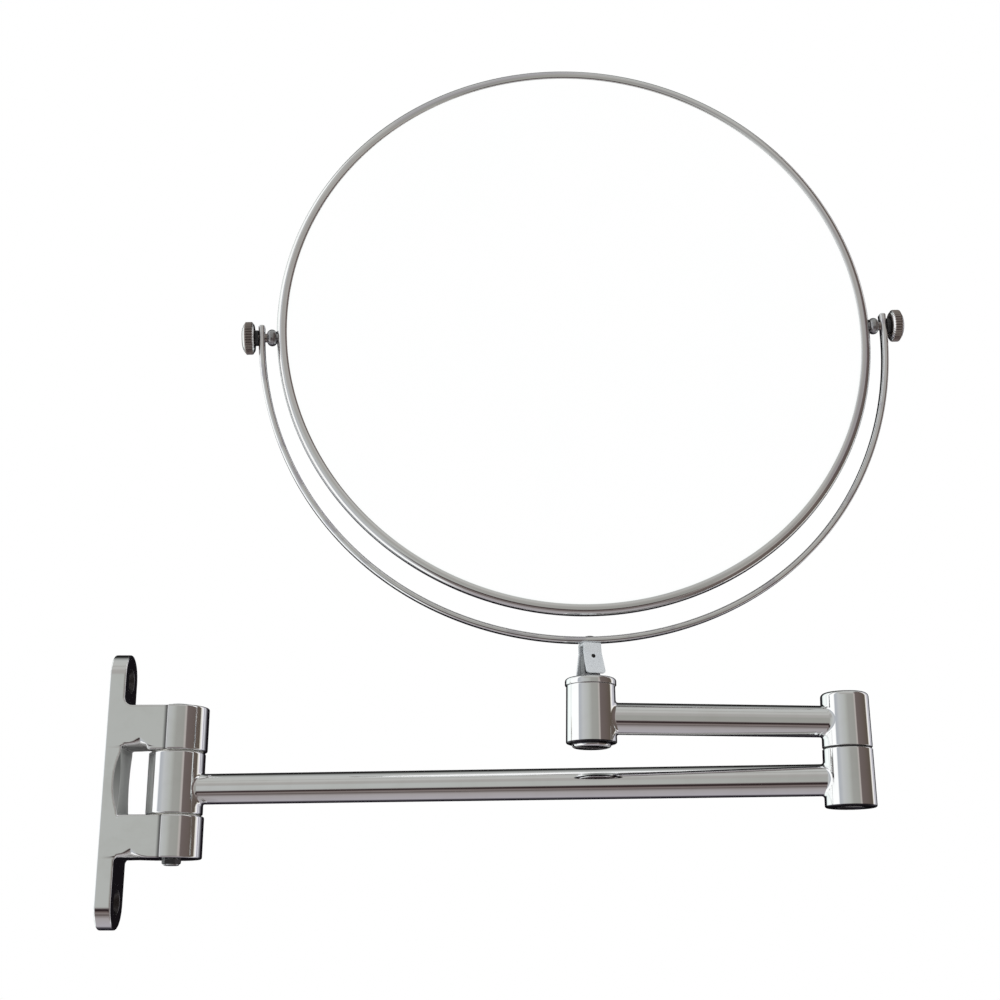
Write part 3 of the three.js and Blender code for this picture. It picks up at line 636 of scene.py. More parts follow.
def skin(field, low, high, step):
    """A quad mesh on the zero level of a distance field, with its true normals."""
    low = np.array(low, float)
    counts = np.ceil((np.array(high) - low) / step).astype(int) + 1
    axes = [low[k] + step * np.arange(counts[k]) for k in range(3)]
    values = np.empty(counts)
    for i, x in enumerate(axes[0]):
        grid_y, grid_z = np.meshgrid(axes[1], axes[2], indexing="ij")
        values[i] = field(np.full(grid_y.shape, x), grid_y, grid_z)
    inside = values < 0
    total = np.zeros(counts - 1, np.int8)
    for i in (0, 1):
        for j in (0, 1):
            for k in (0, 1):
                total += inside[i : counts[0] - 1 + i, j : counts[1] - 1 + j, k : counts[2] - 1 + k]
    active = (total > 0) & (total < 8)
    index = np.full(active.shape, -1)
    index[active] = np.arange(active.sum())
    points = low + (np.argwhere(active) + 0.5) * step

    def slope(p):
        h = 0.02 * step
        out = np.empty_like(p)
        for k in range(3):
            q = p.copy()
            q[:, k] += h
            r = p.copy()
            r[:, k] -= h
            out[:, k] = (field(*q.T) - field(*r.T)) / (2 * h)
        return out

    start = points.copy()
    for _ in range(5):
        gradient = slope(points)
        size = np.maximum((gradient**2).sum(1), 1e-6)
        move = -field(*points.T)[:, None] * gradient / size[:, None]
        points += np.clip(move, -step, step)
        points = start + np.clip(points - start, -0.9 * step, 0.9 * step)
    normals = slope(points)
    normals /= np.linalg.norm(normals, axis=1)[:, None]
    faces = []
    for a in range(3):
        b, c = (a + 1) % 3, (a + 2) % 3
        here = [slice(1, -1)] * 3
        there = [slice(1, -1)] * 3
        here[a], there[a] = slice(0, -1), slice(1, None)
        before, after = inside[tuple(here)], inside[tuple(there)]
        where = np.argwhere(before != after)
        solid_first = before[tuple(where.T)]
        offset = np.ones(3, int)
        offset[a] = 0
        cells = where + offset
        quad = []
        for db, dc in ((1, 1), (0, 1), (0, 0), (1, 0)):
            at = cells.copy()
            at[:, b] -= db
            at[:, c] -= dc
            quad.append(index[tuple(at.T)])
        quad = np.stack(quad, 1)
        quad[~solid_first] = quad[~solid_first][:, ::-1]
        faces.append(quad)
    return points, np.concatenate(faces).tolist(), normals


def carved(node, field, low, high, step, place, look):
    """A finished piece from a distance field, searched between two corners of a box."""
    points, faces, normals = skin(field, low, high, step)
    return piece(node, (points, faces), place, look, normals=normals)


FINE = 1.0

# ---- wall bracket ---------------------------------------------------------


def root_hollow(x, z):
    """How deep the soft wedge-shaped hollows go that the polishing leaves over each lug's root."""
    hollow = np.zeros_like(x)
    for foot, peak, tall in ((UPPER_LUG[0] + 0.9, 11.2, 3.0), (LOWER_LUG[0], 10.6, 2.9)):
        offset = x - peak
        wide = np.where(offset > 0, 2.4, 3.4)
        rise = tall * np.exp(-((np.abs(offset) / wide) ** 1.35))
        inside = np.maximum(rise + 0.25 - np.abs(z - foot), 0)
        hollow += 0.55 * inside**2 / (inside + 0.9)
    return hollow


def bracket_field(x, y, z):
    """One casting: the wall plate and the two lugs that hold the pin."""
    ends = np.hypot(y, np.maximum(np.abs(z) - PLATE_HALF_STRAIGHT, 0)) - PLATE_HALF_W
    neck = np.maximum(ends + root_hollow(x, z), x - PIVOT_X)
    drum = meet(np.hypot(x - PIVOT_X, y) - LUG_R, SHOULDER_X - x, 0.3)
    plan = join(neck, drum, 0.35)
    front = x - PLATE_T
    upper = np.where(
        z > sum(UPPER_LUG) / 2,
        join(front, z - UPPER_LUG[1], 2.7),
        join(front, UPPER_LUG[0] + NECK_RELIEF * smooth(14.2, 13.0, x) - z, 0.5),
    )
    lower = np.where(
        z < sum(LOWER_LUG) / 2,
        join(front, LOWER_LUG[0] - z, 1.2),
        join(front, z - LOWER_LUG[1], 0.5),
    )
    outline = np.where(z > LUG_MID_Z, upper, lower)
    # edges are sharp round the drums and soft under the necks
    under = np.minimum(np.abs(z - UPPER_LUG[0]), np.abs(z - LOWER_LUG[0]))
    edge = 0.55 + 0.95 * smooth(16.5, 12.0, x) * smooth(5.5, 3.5, under) * smooth(5.6, 6.4, x)
    body = meet(outline, plan, edge)
    body = meet(body, -x, 0.45)
    # a shallow round cut wears back each front edge between the lugs, as a crescent
    cut_r = (LUG_HALF_GAP**2 + CRESCENT_DEEP**2) / (2 * CRESCENT_DEEP)
    outward = ((x - PLATE_T) + (np.abs(y) - PLATE_HALF_W)) / math.sqrt(2)
    crescent = np.hypot(outward - (cut_r - CRESCENT_DEEP), z - LUG_MID_Z) - cut_r
    body = cut(body, np.maximum(crescent, x - PLATE_T - 0.2), 0.2)
    body = cut(body, np.hypot(x - PIVOT_X, y) - PIN_BORE_R, 0.2)
    for hole_z in (SCREW_HOLE_Z, -SCREW_HOLE_Z):
        across = np.hypot(y, z - hole_z)
        cone = (across - (COUNTERSINK_R - (PLATE_T - x))) / math.sqrt(2)
        cone = np.maximum(cone, across - COUNTERSINK_R - 0.3)
        body = cut(body, np.minimum(across - SCREW_HOLE_R, cone), 0.15)
    return body


carved("wall_bracket", bracket_field, (-0.6, -10, -46), (32.4, 10, 46), 0.34 * FINE, WALL, "bracket")


def pin_shape():
    """A headed pin with a low domed head on the upper lug and its end just past the nut."""
    seat = UPPER_LUG[1] + GAP
    end = LOWER_LUG[0] - NUT_TALL - 0.5
    profile = [(0, end)] + arc(PIN_R - 0.3, end + 0.3, 0.3, -90, 0, 4)
    profile += [(PIN_R, seat), (PIN_HEAD_R - 0.2, seat)]
    dome = arc(PIN_HEAD_R - 1.2, seat, 1.2, 15, 75, 8) + [(2.2, seat + PIN_HEAD_TALL)]
    profile += [(r, min(z, seat + PIN_HEAD_TALL)) for r, z in dome]
    return lathe(profile + [(0, seat + PIN_HEAD_TALL)], 96)


piece("wall_pivot_pin", pin_shape(), PIVOT, "zinc", level=True)


def nut_field(x, y, z):
    """A hexagon nut, chamfered on its free face."""
    flats = np.maximum.reduce(
        [np.abs(x * math.cos(a) + y * math.sin(a)) for a in (math.pi / 6, math.pi / 2, 5 * math.pi / 6)]
    )
    top = LOWER_LUG[0] - GAP
    foot = top - NUT_TALL
    body = meet(flats - NUT_R * math.cos(math.pi / 6), np.maximum(z - top, foot - z), 0.12)
    chamfer = (np.hypot(x, y) - (NUT_R - 0.4) - (z - foot) * 1.1) / math.hypot(1, 1.1)
    return cut(np.maximum(body, chamfer), np.hypot(x, y) - PIN_BORE_R, 0.15)


carved("wall_pivot_nut", nut_field, (-4, -4, -25.4), (4, 4, -22.1), 0.14 * FINE, PIVOT, "dark_steel")


def washer(node, outer, inner, z0, z1, place, look, edge=0.1, segments=128):
    """A flat washer with broken edges."""
    edge = min(edge, (z1 - z0) * 0.45)
    profile = arc(outer - edge, z0 + edge, edge, -90, 0, 3)
    profile += arc(outer - edge, z1 - edge, edge, 0, 90, 3)
    profile += arc(inner + edge, z1 - edge, edge, 90, 180, 3)
    profile += arc(inner + edge, z0 + edge, edge, 180, 270, 3)
    return piece(node, lathe(profile, segments), place, look)


for node, low in (
    ("wall_washer_upper", UPPER_LUG[0] - GAP - NYLON_WASHER_T),
    ("wall_washer_lower", LOWER_LUG[1] + GAP),
):
    washer(node, NYLON_WASHER_R, PIN_BORE_R, low, low + NYLON_WASHER_T, PIVOT, "nylon")

# ---- arms -----------------------------------------------------------------


def barrel(node, place, look, radii, ends, rounds, tube_z, side, bore, bore_top=None, recess=None):
    """A turned, slightly tapered barrel with a bored middle and a brazed tube leaving towards +X or -X.

    The radii, ends and edge rounds are given for the foot first. A recess is a radius and its floor.
    """
    foot_r, top_r = radii
    foot, top = ends

    def field(x, y, z):
        around = np.hypot(x, y)
        radius = foot_r + (top_r - foot_r) * (z - foot) / (top - foot)
        body = meet(around - radius, z - top, rounds[1])
        body = meet(body, foot - z, rounds[0])
        stub = np.hypot(y, z - tube_z) - (TUBE_R - 0.02)
        stub = np.maximum(stub, np.abs(x * side - foot_r / 2) - (foot_r / 2 + 1.6))
        body = join(body, stub, BRAZE)
        shaft = around - bore
        if bore_top:
            shaft = np.maximum(shaft, z - bore_top)
        body = cut(body, shaft, 0.15)
        if recess:
            body = cut(body, np.maximum(around - recess[0], z - recess[1]), 0.2)
        return body

    low = [-foot_r - 0.6, -foot_r - 0.6, foot - 0.6]
    high = [foot_r + 0.6, foot_r + 0.6, top + 0.6]
    if side > 0:
        high[0] = foot_r + 2.4
    else:
        low[0] = -foot_r - 2.4
    return carved(node, field, low, high, 0.25 * FINE, place, look)


barrel(
    "wall_barrel", LONG, "barrel", (WALL_BARREL_R, WALL_BARREL_R),
    (LUG_MID_Z - WALL_BARREL_HALF, LUG_MID_Z + WALL_BARREL_HALF), (0.5, 0.5),
    tube_z=0.0, side=1, bore=PIN_BORE_R,
)
barrel(
    "elbow_lower_barrel", ELBOW, "elbow_barrel", (ELBOW_FOOT_R, ELBOW_SEAM_R),
    (ELBOW_BOTTOM, ELBOW_SEAM), (0.6, 0.18),
    tube_z=0.0, side=-1, bore=PIN_BORE_R, recess=(COUNTERBORE_R, COUNTERBORE_FLOOR),
)
barrel(
    "elbow_upper_barrel", SHORT, "barrel", (ELBOW_SEAM_R - 0.01, ELBOW_TOP_R),
    (ELBOW_UPPER, ELBOW_TOP), (0.18, 1.4),
    tube_z=SHORT_TUBE_Z, side=1, bore=PIN_BORE_R, bore_top=BOLT_TOP + 0.4,
)
barrel(
    "front_barrel", FRONT, "front_barrel", (FRONT_FOOT_R, FRONT_TOP_R),
    (FRONT_BOTTOM, FRONT_TOP), (0.5, 0.15),
    tube_z=SHORT_TUBE_Z, side=-1, bore=STEM_BORE_R, recess=(SWIVEL_RECESS_R, SWIVEL_RECESS_FLOOR),
)


def tube(node, x0, x1, z, place):
    """A round tube along X with its bore, cut square and deburred."""
    length = x1 - x0
    profile = arc(TUBE_R - 0.1, 0.1, 0.1, -90, 0, 3)
    profile += arc(TUBE_R - 0.1, length - 0.1, 0.1, 0, 90, 3)
    profile += [(TUBE_BORE_R, length), (TUBE_BORE_R, 0.0)]
    verts, faces = lathe(profile, 160, "X")
    return piece(node, (verts + np.array([x0, 0, z]), faces), place, "tube", level=True)


tube("long_arm_tube", WALL_TUBE_START, LONG_ARM - TUBE_START, 0.0, LONG)
tube("short_arm_tube", TUBE_START, SHORT_ARM - TUBE_START, SHORT_TUBE_Z, SHORT)

fibre_foot = ELBOW_SEAM + GAP
fibre_top = fibre_foot + FIBRE_WASHER_T
washer("elbow_friction_washer", FIBRE_WASHER_R, PIN_BORE_R, fibre_foot, fibre_top, ELBOW, "black")


def screw_field(head_r, foot, seat, shank_r, top, slot_w, slot_d, dome):
    """A slotted round-head screw standing along Z, its head at the foot."""

    def field(x, y, z):
        around = np.hypot(x, y)
        head = meet(around - head_r, z - seat, 0.12)
        head = meet(head, foot - z, dome)
        shank = np.maximum(np.maximum(around - shank_r, z - top), seat - 0.5 - z)
        body = np.minimum(head, shank)
        slot = np.maximum(np.abs(y) - slot_w / 2, z - (foot + slot_d))
        return cut(body, slot, 0.1)

    return field


carved(
    "elbow_pivot_bolt",
    screw_field(BOLT_HEAD_R, BOLT_FOOT, COUNTERBORE_FLOOR - 0.5, PIN_R, BOLT_TOP, 1.2, 0.9, 0.3),
    (-4.4, -4.4, -8.7), (4.4, 4.4, 25.0), 0.2 * FINE, SHORT, "zinc",
)
washer(
    "elbow_spring_washer", BOLT_HEAD_R, PIN_BORE_R, COUNTERBORE_FLOOR - 0.45, COUNTERBORE_FLOOR - GAP,
    SHORT, "zinc", 0.08, 96,
)


def cap_shape():
    """The front barrel's top: a thick disc with a well rounded upper edge."""
    foot = FRONT_TOP + GAP
    profile = [(STEM_BORE_R, foot)]
    profile += arc(CAP_R - 0.15, foot + 0.15, 0.15, -90, 0, 4)
    profile += arc(CAP_R - 1.0, CAP_TOP - 1.0, 1.0, 0, 90, 10)
    return lathe(profile + [(STEM_BORE_R, CAP_TOP)], 160)


piece("front_barrel_cap", cap_shape(), FRONT, "barrel", level=True)

# ---- swivel and knuckle -----------------------------------------------------


def stem_field(x, y, z):
    """The turning stem: a shaft, a flange over the cap and a flat tongue with the hinge hole."""
    around = np.hypot(x, y)
    shaft = np.maximum(np.maximum(around - STEM_R, STEM_FOOT - z), z - STEM_FLANGE_TOP + 0.7)
    flange = meet(around - STEM_FLANGE_R, z - STEM_FLANGE_TOP, 0.4)
    flange = np.maximum(flange, CAP_TOP + GAP - z)
    outline = np.hypot(x, np.maximum(z - KNUCKLE_Z, 0)) - TONGUE_R
    outline = np.maximum(outline, STEM_FLANGE_TOP - 0.6 - z)
    tongue = meet(outline, np.abs(y) - TONGUE_HALF_T, 0.2)
    body = np.minimum(shaft, join(flange, tongue, 0.5))
    body = cut(body, np.hypot(x, z - KNUCKLE_Z) - KNUCKLE_HOLE_R, 0.08)
    thread = np.maximum(around - SWIVEL_SHANK_R - GAP, z - (SWIVEL_SHANK_TOP + 1.0))
    return cut(body, thread, 0.1)


carved("swivel_stem", stem_field, (-3.6, -3.6, 12.5), (3.6, 3.6, 41.2), 0.17 * FINE, SWIVEL, "stem")
carved(
    "swivel_screw",
    screw_field(
        SWIVEL_HEAD_R, SWIVEL_HEAD_FOOT, SWIVEL_HEAD_TOP, SWIVEL_SHANK_R, SWIVEL_SHANK_TOP, 1.3, 0.9, 0.9
    ),
    (-6.6, -6.6, 8.6), (6.6, 6.6, 21.4), 0.17 * FINE, SWIVEL, "plug",
)
washer(
    "swivel_spring_washer", SWIVEL_WASHER_R, STEM_BORE_R,
    SWIVEL_HEAD_TOP + GAP, SWIVEL_RECESS_FLOOR - GAP, SWIVEL, "zinc", 0.08, 96,
)

# half of the strip's middle line, from a splayed foot up to the folded top
CLEVIS_SIDE = [(5.4, -7.42), (2.2, 1.2), (2.2, CLEVIS_TOP - SHEET_HALF)]
CLEVIS_LINE = CLEVIS_SIDE + [(-y, z) for y, z in reversed(CLEVIS_SIDE)]


def clevis_field(x, y, z):
    """One strip of sheet folded into a fork, its feet splayed and rounded."""
    nearest = np.full_like(x, 99.0)
    for (y0, z0), (y1, z1) in zip(CLEVIS_LINE[:-1], CLEVIS_LINE[1:]):
        dy, dz = y1 - y0, z1 - z0
        t = np.clip(((y - y0) * dy + (z - z0) * dz) / (dy * dy + dz * dz), 0, 1)
        nearest = np.minimum(nearest, np.hypot(y - y0 - t * dy, z - z0 - t * dz))
    down = (CLEVIS_TOP + 1.0 - z) / (CLEVIS_TOP - CLEVIS_FOOT)
    face = meet(np.abs(x) - CLEVIS_HALF_W - CLEVIS_FLARE * down, CLEVIS_FOOT - z, 1.1)
    body = meet(nearest - SHEET_HALF, face, 0.16)
    body = cut(body, np.hypot(x, z) - KNUCKLE_HOLE_R, 0.05)
    return cut(body, np.maximum(np.hypot(x, y) - RIVET_R - GAP, -z), 0.05)


carved("knuckle_clevis", clevis_field, (-3.7, -5.6, -6.3), (3.7, 5.6, 4.9), 0.14 * FINE, KNUCKLE, "satin")


def knuckle_pin_shape():
    """A plain pin with rounded ends."""
    edge = 0.15
    middle = KNUCKLE_PIN_R - edge
    profile = [(0, -KNUCKLE_PIN_HALF)] + arc(middle, edge - KNUCKLE_PIN_HALF, edge, -90, 0, 4)
    profile += arc(middle, KNUCKLE_PIN_HALF - edge, edge, 0, 90, 4) + [(0, KNUCKLE_PIN_HALF)]
    return lathe(profile, 48, "Y")


def rivet_shape():
    """A rivet through the clevis's top and the yoke, with a low domed head."""
    foot = CLEVIS_TOP - 2 * SHEET_HALF
    seat = CLEVIS_TOP + (YOKE_OUT - YOKE_IN) + 0.1
    profile = [(0, foot), (RIVET_R, foot), (RIVET_R, seat)]
    profile += [(RIVET_HEAD_R, seat), (RIVET_HEAD_R - 0.01, seat + 0.05)]
    dome = [(math.cos(a), math.sin(a)) for a in np.linspace(0.3, 1.4, 7)]
    profile += [(RIVET_HEAD_R * r, seat + 0.25 * z) for r, z in dome]
    return lathe(profile + [(0, seat + 0.25)], 64)


piece("knuckle_pin", knuckle_pin_shape(), KNUCKLE, "dark_steel", level=True)
piece("yoke_rivet", rivet_shape(), KNUCKLE, "boss", level=True)

# ---- yoke -------------------------------------------------------------------


def rounded_section(half_a, half_b, radius, steps=4):
    """A rounded rectangle as a closed ring of points."""
    points = []
    for sx, sy, start in ((1, 1, 0), (-1, 1, 90), (-1, -1, 180), (1, -1, 270)):
        centre = (sx * (half_a - radius), sy * (half_b - radius))
        points += arc(*centre, radius, start, start + 90, steps)
    return points


def yoke_path():
    """The middle line of the bent bar from tip to tip, each point with its way outwards."""
    middle = (YOKE_IN + YOKE_OUT) / 2

    def line(angle):
        full = YOKE_FULL_FOOT * math.sin(angle) ** 2 + YOKE_FULL_SIDES * math.sin(2 * angle) ** 2
        return np.array([math.cos(angle), -math.sin(angle)]) * (middle + full)

    path = [((middle, z), (1.0, 0.0)) for z in np.linspace(YOKE_TIP, 0, 6)[:-1]]
    for angle in np.linspace(0, math.pi, 181):
        along = line(angle + 0.01) - line(angle - 0.01)
        away = np.array([-along[1], along[0]]) / np.hypot(*along)
        if min(angle, math.pi - angle) < 0.02:  # still upright where the bend begins
            away = np.array([math.copysign(1.0, math.cos(angle)), 0.0])
        path.append((tuple(line(angle)), tuple(away)))
    return path + [((-middle, z), (-1.0, 0.0)) for z in np.linspace(0, YOKE_TIP, 6)[1:]]


def yoke_shape():
    """A flat bar bent into a near half circle with short upright ends."""
    path = yoke_path()
    verts, rings = [], []

    def ring(centre, away, shrink=0.0):
        half_t = (YOKE_OUT - YOKE_IN) / 2 - shrink
        section = rounded_section(half_t, YOKE_HALF_W - shrink, max(YOKE_EDGE - shrink, 0.05))
        rings.append(list(range(len(verts), len(verts) + len(section))))
        for a, b in section:
            verts.append((centre[0] + a * away[0], b, centre[1] + a * away[1]))

    def tip(end, degrees):
        (x, _), away = end
        for a in np.radians(degrees):
            rise = YOKE_END_EDGE * (math.sin(a) - 1)
            ring((x, YOKE_TIP + rise), away, YOKE_END_EDGE * (1 - math.cos(a)))

    tip(path[0], (80, 60, 40, 20, 0))
    for centre, away in path[1:-1]:
        ring(centre, away)
    tip(path[-1], (0, 20, 40, 60, 80))
    faces = []
    for a, b in zip(rings[:-1], rings[1:]):
        n = len(a)
        faces += [(a[i], a[(i + 1) % n], b[(i + 1) % n], b[i]) for i in range(n)]
    faces.append(tuple(reversed(rings[0])))
    faces.append(tuple(rings[-1]))
    verts = np.array(verts)
    if signed_volume(verts, faces) < 0:
        faces = [tuple(reversed(f)) for f in faces]
    return verts, faces


piece("yoke", yoke_shape(), HOOP, "bar", sharp=60, level=True)


def both_sides(node, shape, place, look, **extra):
    """The right-hand piece, and the left-hand one turned half round."""
    piece("right_" + node, shape, place, look, **extra)
    verts, faces = shape
    turned = np.asarray(verts) * np.array([-1, -1, 1])
    piece("left_" + node, (turned, faces), place, look, **extra)


def collar_shape():
    """The thin black washer between the yoke's end and the knob."""
    x0 = YOKE_OUT + GAP
    edge = 0.15
    middle = COLLAR_R - edge
    profile = arc(middle, x0 + edge, edge, -90, 0, 3)
    profile += arc(middle, x0 + COLLAR_T - edge, edge, 0, 90, 3)
    return lathe(profile + [(THUMB_R + edge, x0 + COLLAR_T), (THUMB_R + edge, x0)], 96, "X")


both_sides("collar", collar_shape(), HOOP, "black")

# ---- mirror -----------------------------------------------------------------


def rim_shape():
    """A band rolled over each glass, ending in a lip that curls back a little."""
    roll = arc(RIM_R - ROLL_R, RIM_HALF_T - ROLL_R, ROLL_R, 0, 126, 24)
    r, y = roll[-1]
    bend = math.radians(126)
    centre = (r - LIP_CURL * math.cos(bend), y - LIP_CURL * math.sin(bend))
    roll += arc(*centre, LIP_CURL, 126, 172, 5)[1:]
    floor = RIM_HALF_T - LIP_T
    half = roll + [(roll[-1][0] + 0.02, floor), (RIM_INSIDE_R, floor)]
    return lathe([(r, -y) for r, y in reversed(half)] + half, 480, "Y")


piece("mirror_rim", rim_shape(), RIM, "rim", level=True)

GLASS_Y = RIM_HALF_T - LIP_T - GAP


def plain_glass_shape():
    """A flat disc with a ground bevel round both faces."""
    front = -GLASS_Y
    back = front + GLASS_T
    edge = 0.3
    profile = [(0, front), (GLASS_R - 1.8, front), (GLASS_R - edge, front), (GLASS_R, front + edge)]
    profile += [(GLASS_R, back - edge), (GLASS_R - edge, back), (0, back)]
    return lathe(profile, 240, "Y")


def magnifying_glass_shape():
    """A disc of even thickness, dished so that it magnifies."""
    radii = np.linspace(0, GLASS_R, 40)

    def dished(base):
        return [(r, base - GLASS_SAG * (1 - (r / GLASS_R) ** 2)) for r in radii]

    return lathe(dished(GLASS_Y - GLASS_T) + dished(GLASS_Y)[::-1], 240, "Y")


def spacer_shape():
    """A ring of card that keeps the two glasses apart, thinner inside on the dished glass's side."""
    half = GLASS_Y - GLASS_T - GAP
    profile = [(SPACER_IN_R, -half), (GLASS_R, -half), (GLASS_R, half), (SPACER_IN_R, half - 0.25)]
    return lathe(profile, 240, "Y")


piece("plain_glass", plain_glass_shape(), RIM, "glass", sharp=20)
piece("magnifying_glass", magnifying_glass_shape(), RIM, "glass", sharp=50)
piece("glass_spacer_ring", spacer_shape(), RIM, "card")


def boss_shape():
    """A round button riveted through the rim, flat where the thumb screw enters."""
    seat = RIM_R + GAP
    top = seat + BOSS_LONG
    profile = [(0, seat - 0.8), (BOSS_PEG_R, seat - 0.8), (BOSS_PEG_R, seat), (2.2, seat)]
    profile += arc(BOSS_R - BOSS_ROUND, seat + 1.55, BOSS_ROUND, -68, 62, 18)
    return lathe(profile + [(BOSS_PEG_R, top), (0, top)], 96, "X")


both_sides("pivot_boss", boss_shape(), PIVOTS, "boss", level=True)


def knurl(angles, r, _):
    """Straight knurling: rounded ridges where the knob is at its widest."""
    ridge = 0.5 - 0.5 * np.cos(angles * KNOB_TEETH)
    depth = 0.34 * np.clip((r - (KNOB_R - 0.5)) / 0.5, 0, 1)
    return r - depth * (1 - ridge) ** 1.6


def thumb_screw_shape():
    """A plain neck and a knurled knob with chamfers and a low domed end."""
    neck_end = RIM_R + 1.2
    profile = [(0, neck_end), (THUMB_R, neck_end), (THUMB_R, KNOB_IN), (3.6, KNOB_IN)]
    profile += [(4.3, KNOB_IN + 0.06), (4.62, KNOB_IN + 0.2)]
    profile += [(KNOB_R - 0.45, KNOB_IN + 0.5), (KNOB_R - 0.1, KNOB_IN + 0.72)]
    profile += [(KNOB_R, x) for x in np.linspace(KNOB_IN + 0.85, KNOB_END - 1.35, 5)]
    for inwards, short in ((0.12, 1.2), (0.5, 0.95), (1.2, 0.5), (1.9, 0.2), (2.6, 0.05)):
        profile.append((KNOB_R - inwards, KNOB_END - short))
    return lathe(profile + [(1.5, KNOB_END), (0, KNOB_END)], KNOB_TEETH * 8, "X", knurl)


both_sides("thumb_screw", thumb_screw_shape(), PIVOTS, "knurl", sharp=50)

# ---- camera, light and floor ---------------------------------------------------

CAMERA_PLACE = (0.1343, -0.5202, -0.0564)
CAMERA_CLIMB = 0.2919  # how far it looks above the level, in radians
CAMERA_TURN = 0.0085
AIM = Vector((0.13, 0.0, 0.05))
FLOOR_HALF = 4.0

camera = bpy.data.cameras.new("camera")
camera.sensor_width = 36.0
camera.lens = 56.0
camera.clip_start = 0.01
camera.clip_end = 50.0
camera_object = add_object("camera", camera)
camera_object.location = CAMERA_PLACE
camera_object.rotation_euler = (math.pi / 2 + CAMERA_CLIMB, 0.0, CAMERA_TURN)
bpy.context.scene.camera = camera_object


def area_light(name, place, size, power):
    """A soft round light aimed at the mirror, which no metal shows."""
    light = bpy.data.lights.new(name, "AREA")
    light.shape = "DISK"
    light.size = size
    light.energy = power
    obj = add_object(name, light)
    obj.location = place
    obj.rotation_euler = (AIM - Vector(place)).to_track_quat("-Z", "Y").to_euler()
    obj.visible_glossy = False


area_light("key_light", (-1.1, -1.3, 1.5), 1.2, 26)
area_light("fill_light", (1.4, -1.0, 0.9), 1.4, 12)
area_light("back_light", (0.2, 1.5, 1.3), 1.2, 12)

floor_mesh = bpy.data.meshes.new("floor")
corners = [(x * FLOOR_HALF, y * FLOOR_HALF, 0.0) for x, y in ((-1, -1), (1, -1), (1, 1), (-1, 1))]
floor_mesh.from_pydata(corners, [], [(0, 1, 2, 3)])
floor = add_object("floor", floor_mesh)
floor.location = (AIM.x, 0.0, -0.3)
floor.visible_glossy = False
floor_look, g = material("pale_floor")
speckle = g.noise(g.stretched((1, 1, 1)), 30.0, 4.0, 0.6)
floor_color = g.mix(speckle, linear(244, 244, 243), linear(238, 238, 237))
finish_shader(g, floor_color, g.map(speckle, 0.3, 0.7, 0.6, 0.75), 0.0)
floor_mesh.materials.append(floor_look)

# ---- the room that the chrome reflects -----------------------------------------

CHROME_SHINE = 0.92  # how much of the room's light the chrome gives back
BRIGHTEST = 1.3


def stops(pairs):
    """Ramp stops from degrees and the display tone that polished chrome shows there."""
    made = []
    for degrees, tone in pairs:
        color = [min(c / CHROME_SHINE, BRIGHTEST) for c in linear(*tone)[:3]]
        made.append(((degrees + 180) / 360, (*color, 1)))
    return made


# as upright surfaces see it, in degrees round from the camera's side towards +X
AROUND = stops([
    (-180, (16, 14, 17)), (-150, (24, 21, 26)), (-144, (60, 56, 64)), (-138, (235, 245, 242)),
    (-112, (252, 254, 253)), (-108, (215, 224, 222)), (-102, (252, 254, 253)), (-64, (253, 253, 253)),
    (-59, (168, 172, 178)), (-40, (184, 186, 187)), (-12, (170, 172, 168)), (2, (153, 153, 149)),
    (30, (149, 149, 144)), (34, (174, 168, 164)), (38, (172, 166, 162)), (42, (104, 94, 92)),
    (70, (98, 88, 84)), (100, (88, 79, 70)), (104, (226, 223, 214)), (116, (236, 234, 242)),
    (120, (120, 116, 126)), (125, (210, 210, 214)), (133, (150, 150, 156)), (143, (60, 56, 62)),
    (150, (24, 21, 25)), (180, (16, 14, 17)),
])
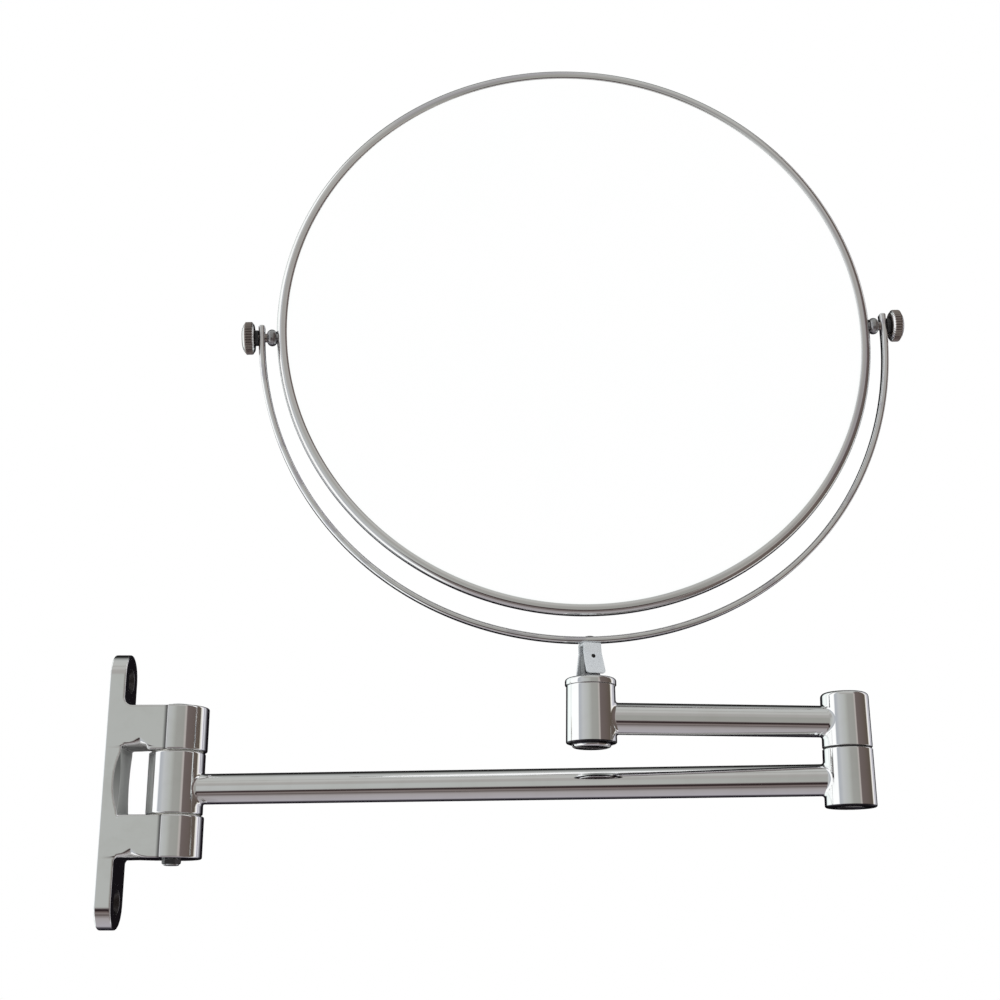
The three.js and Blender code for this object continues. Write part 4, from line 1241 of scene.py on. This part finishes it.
# as the level tubes see it, in degrees up from the camera's side and over the top
OVER = stops([
    (-180, (28, 26, 31)), (-140, (36, 33, 40)), (-126, (92, 88, 94)), (-116, (166, 162, 168)),
    (-70, (158, 153, 154)), (-56, (126, 119, 118)), (-50, (84, 75, 73)), (-45, (130, 122, 120)),
    (-38, (104, 92, 90)), (-33, (44, 36, 36)), (-28, (40, 30, 32)), (-23, (88, 78, 78)),
    (-16, (148, 142, 142)), (-4, (157, 151, 152)), (12, (158, 156, 153)), (36, (164, 162, 159)),
    (44, (178, 178, 175)), (56, (178, 178, 175)), (59, (150, 150, 146)), (62, (181, 182, 179)),
    (92, (180, 182, 180)), (104, (150, 152, 150)), (114, (104, 106, 104)), (122, (34, 34, 33)),
    (180, (30, 28, 33)),
])


def room(g):
    """The tones of the room in every direction, with edges that wander a little."""
    direction = g.add("ShaderNodeTexCoord").outputs["Generated"]
    parts = g.split(direction)
    wobble = g.math("SUBTRACT", g.noise(direction, 2.2, 2.0, 0.5), 0.5)
    toward = g.times(parts["Y"], -1.0)

    def tones(axis, ramp, drift):
        angle = g.math("ARCTAN2", parts[axis], toward)
        fraction = g.math("MULTIPLY_ADD", angle, 1 / (2 * math.pi), 0.5)
        return g.ramp(g.math("ADD", fraction, g.times(wobble, drift)), ramp)

    steep = g.map(g.math("ABSOLUTE", parts["Z"]), 0.2, 0.4, 0.0, 1.0)
    steep = g.times(steep, g.map(g.math("ABSOLUTE", parts["X"]), 0.4, 0.6, 1.0, 0.0))
    return g.mix(steep, tones("X", AROUND, 0.03), tones("Z", OVER, 0.035))


def studio_world():
    """Plain white behind the object, in the glass and as soft light; the metal reflects the room."""
    world = bpy.data.worlds.new("studio")
    world.use_nodes = True
    world.cycles.sampling_method = "NONE"
    g = Graph(world.node_tree)
    rays = g.add("ShaderNodeLightPath").outputs
    plain = g.math("MAXIMUM", rays["Is Singular Ray"], rays["Is Diffuse Ray"])
    plain = g.math("MAXIMUM", rays["Is Camera Ray"], plain)
    shown = g.mix(plain, room(g), (1, 1, 1, 1))
    background = g.add("ShaderNodeBackground", {"Color": shown, "Strength": 1.0})
    g.add("ShaderNodeOutputWorld", {"Surface": background.outputs[0]})
    return world


scene = bpy.context.scene
scene.world = studio_world()
scene.view_settings.view_transform = "Standard"
scene.view_settings.look = "None"
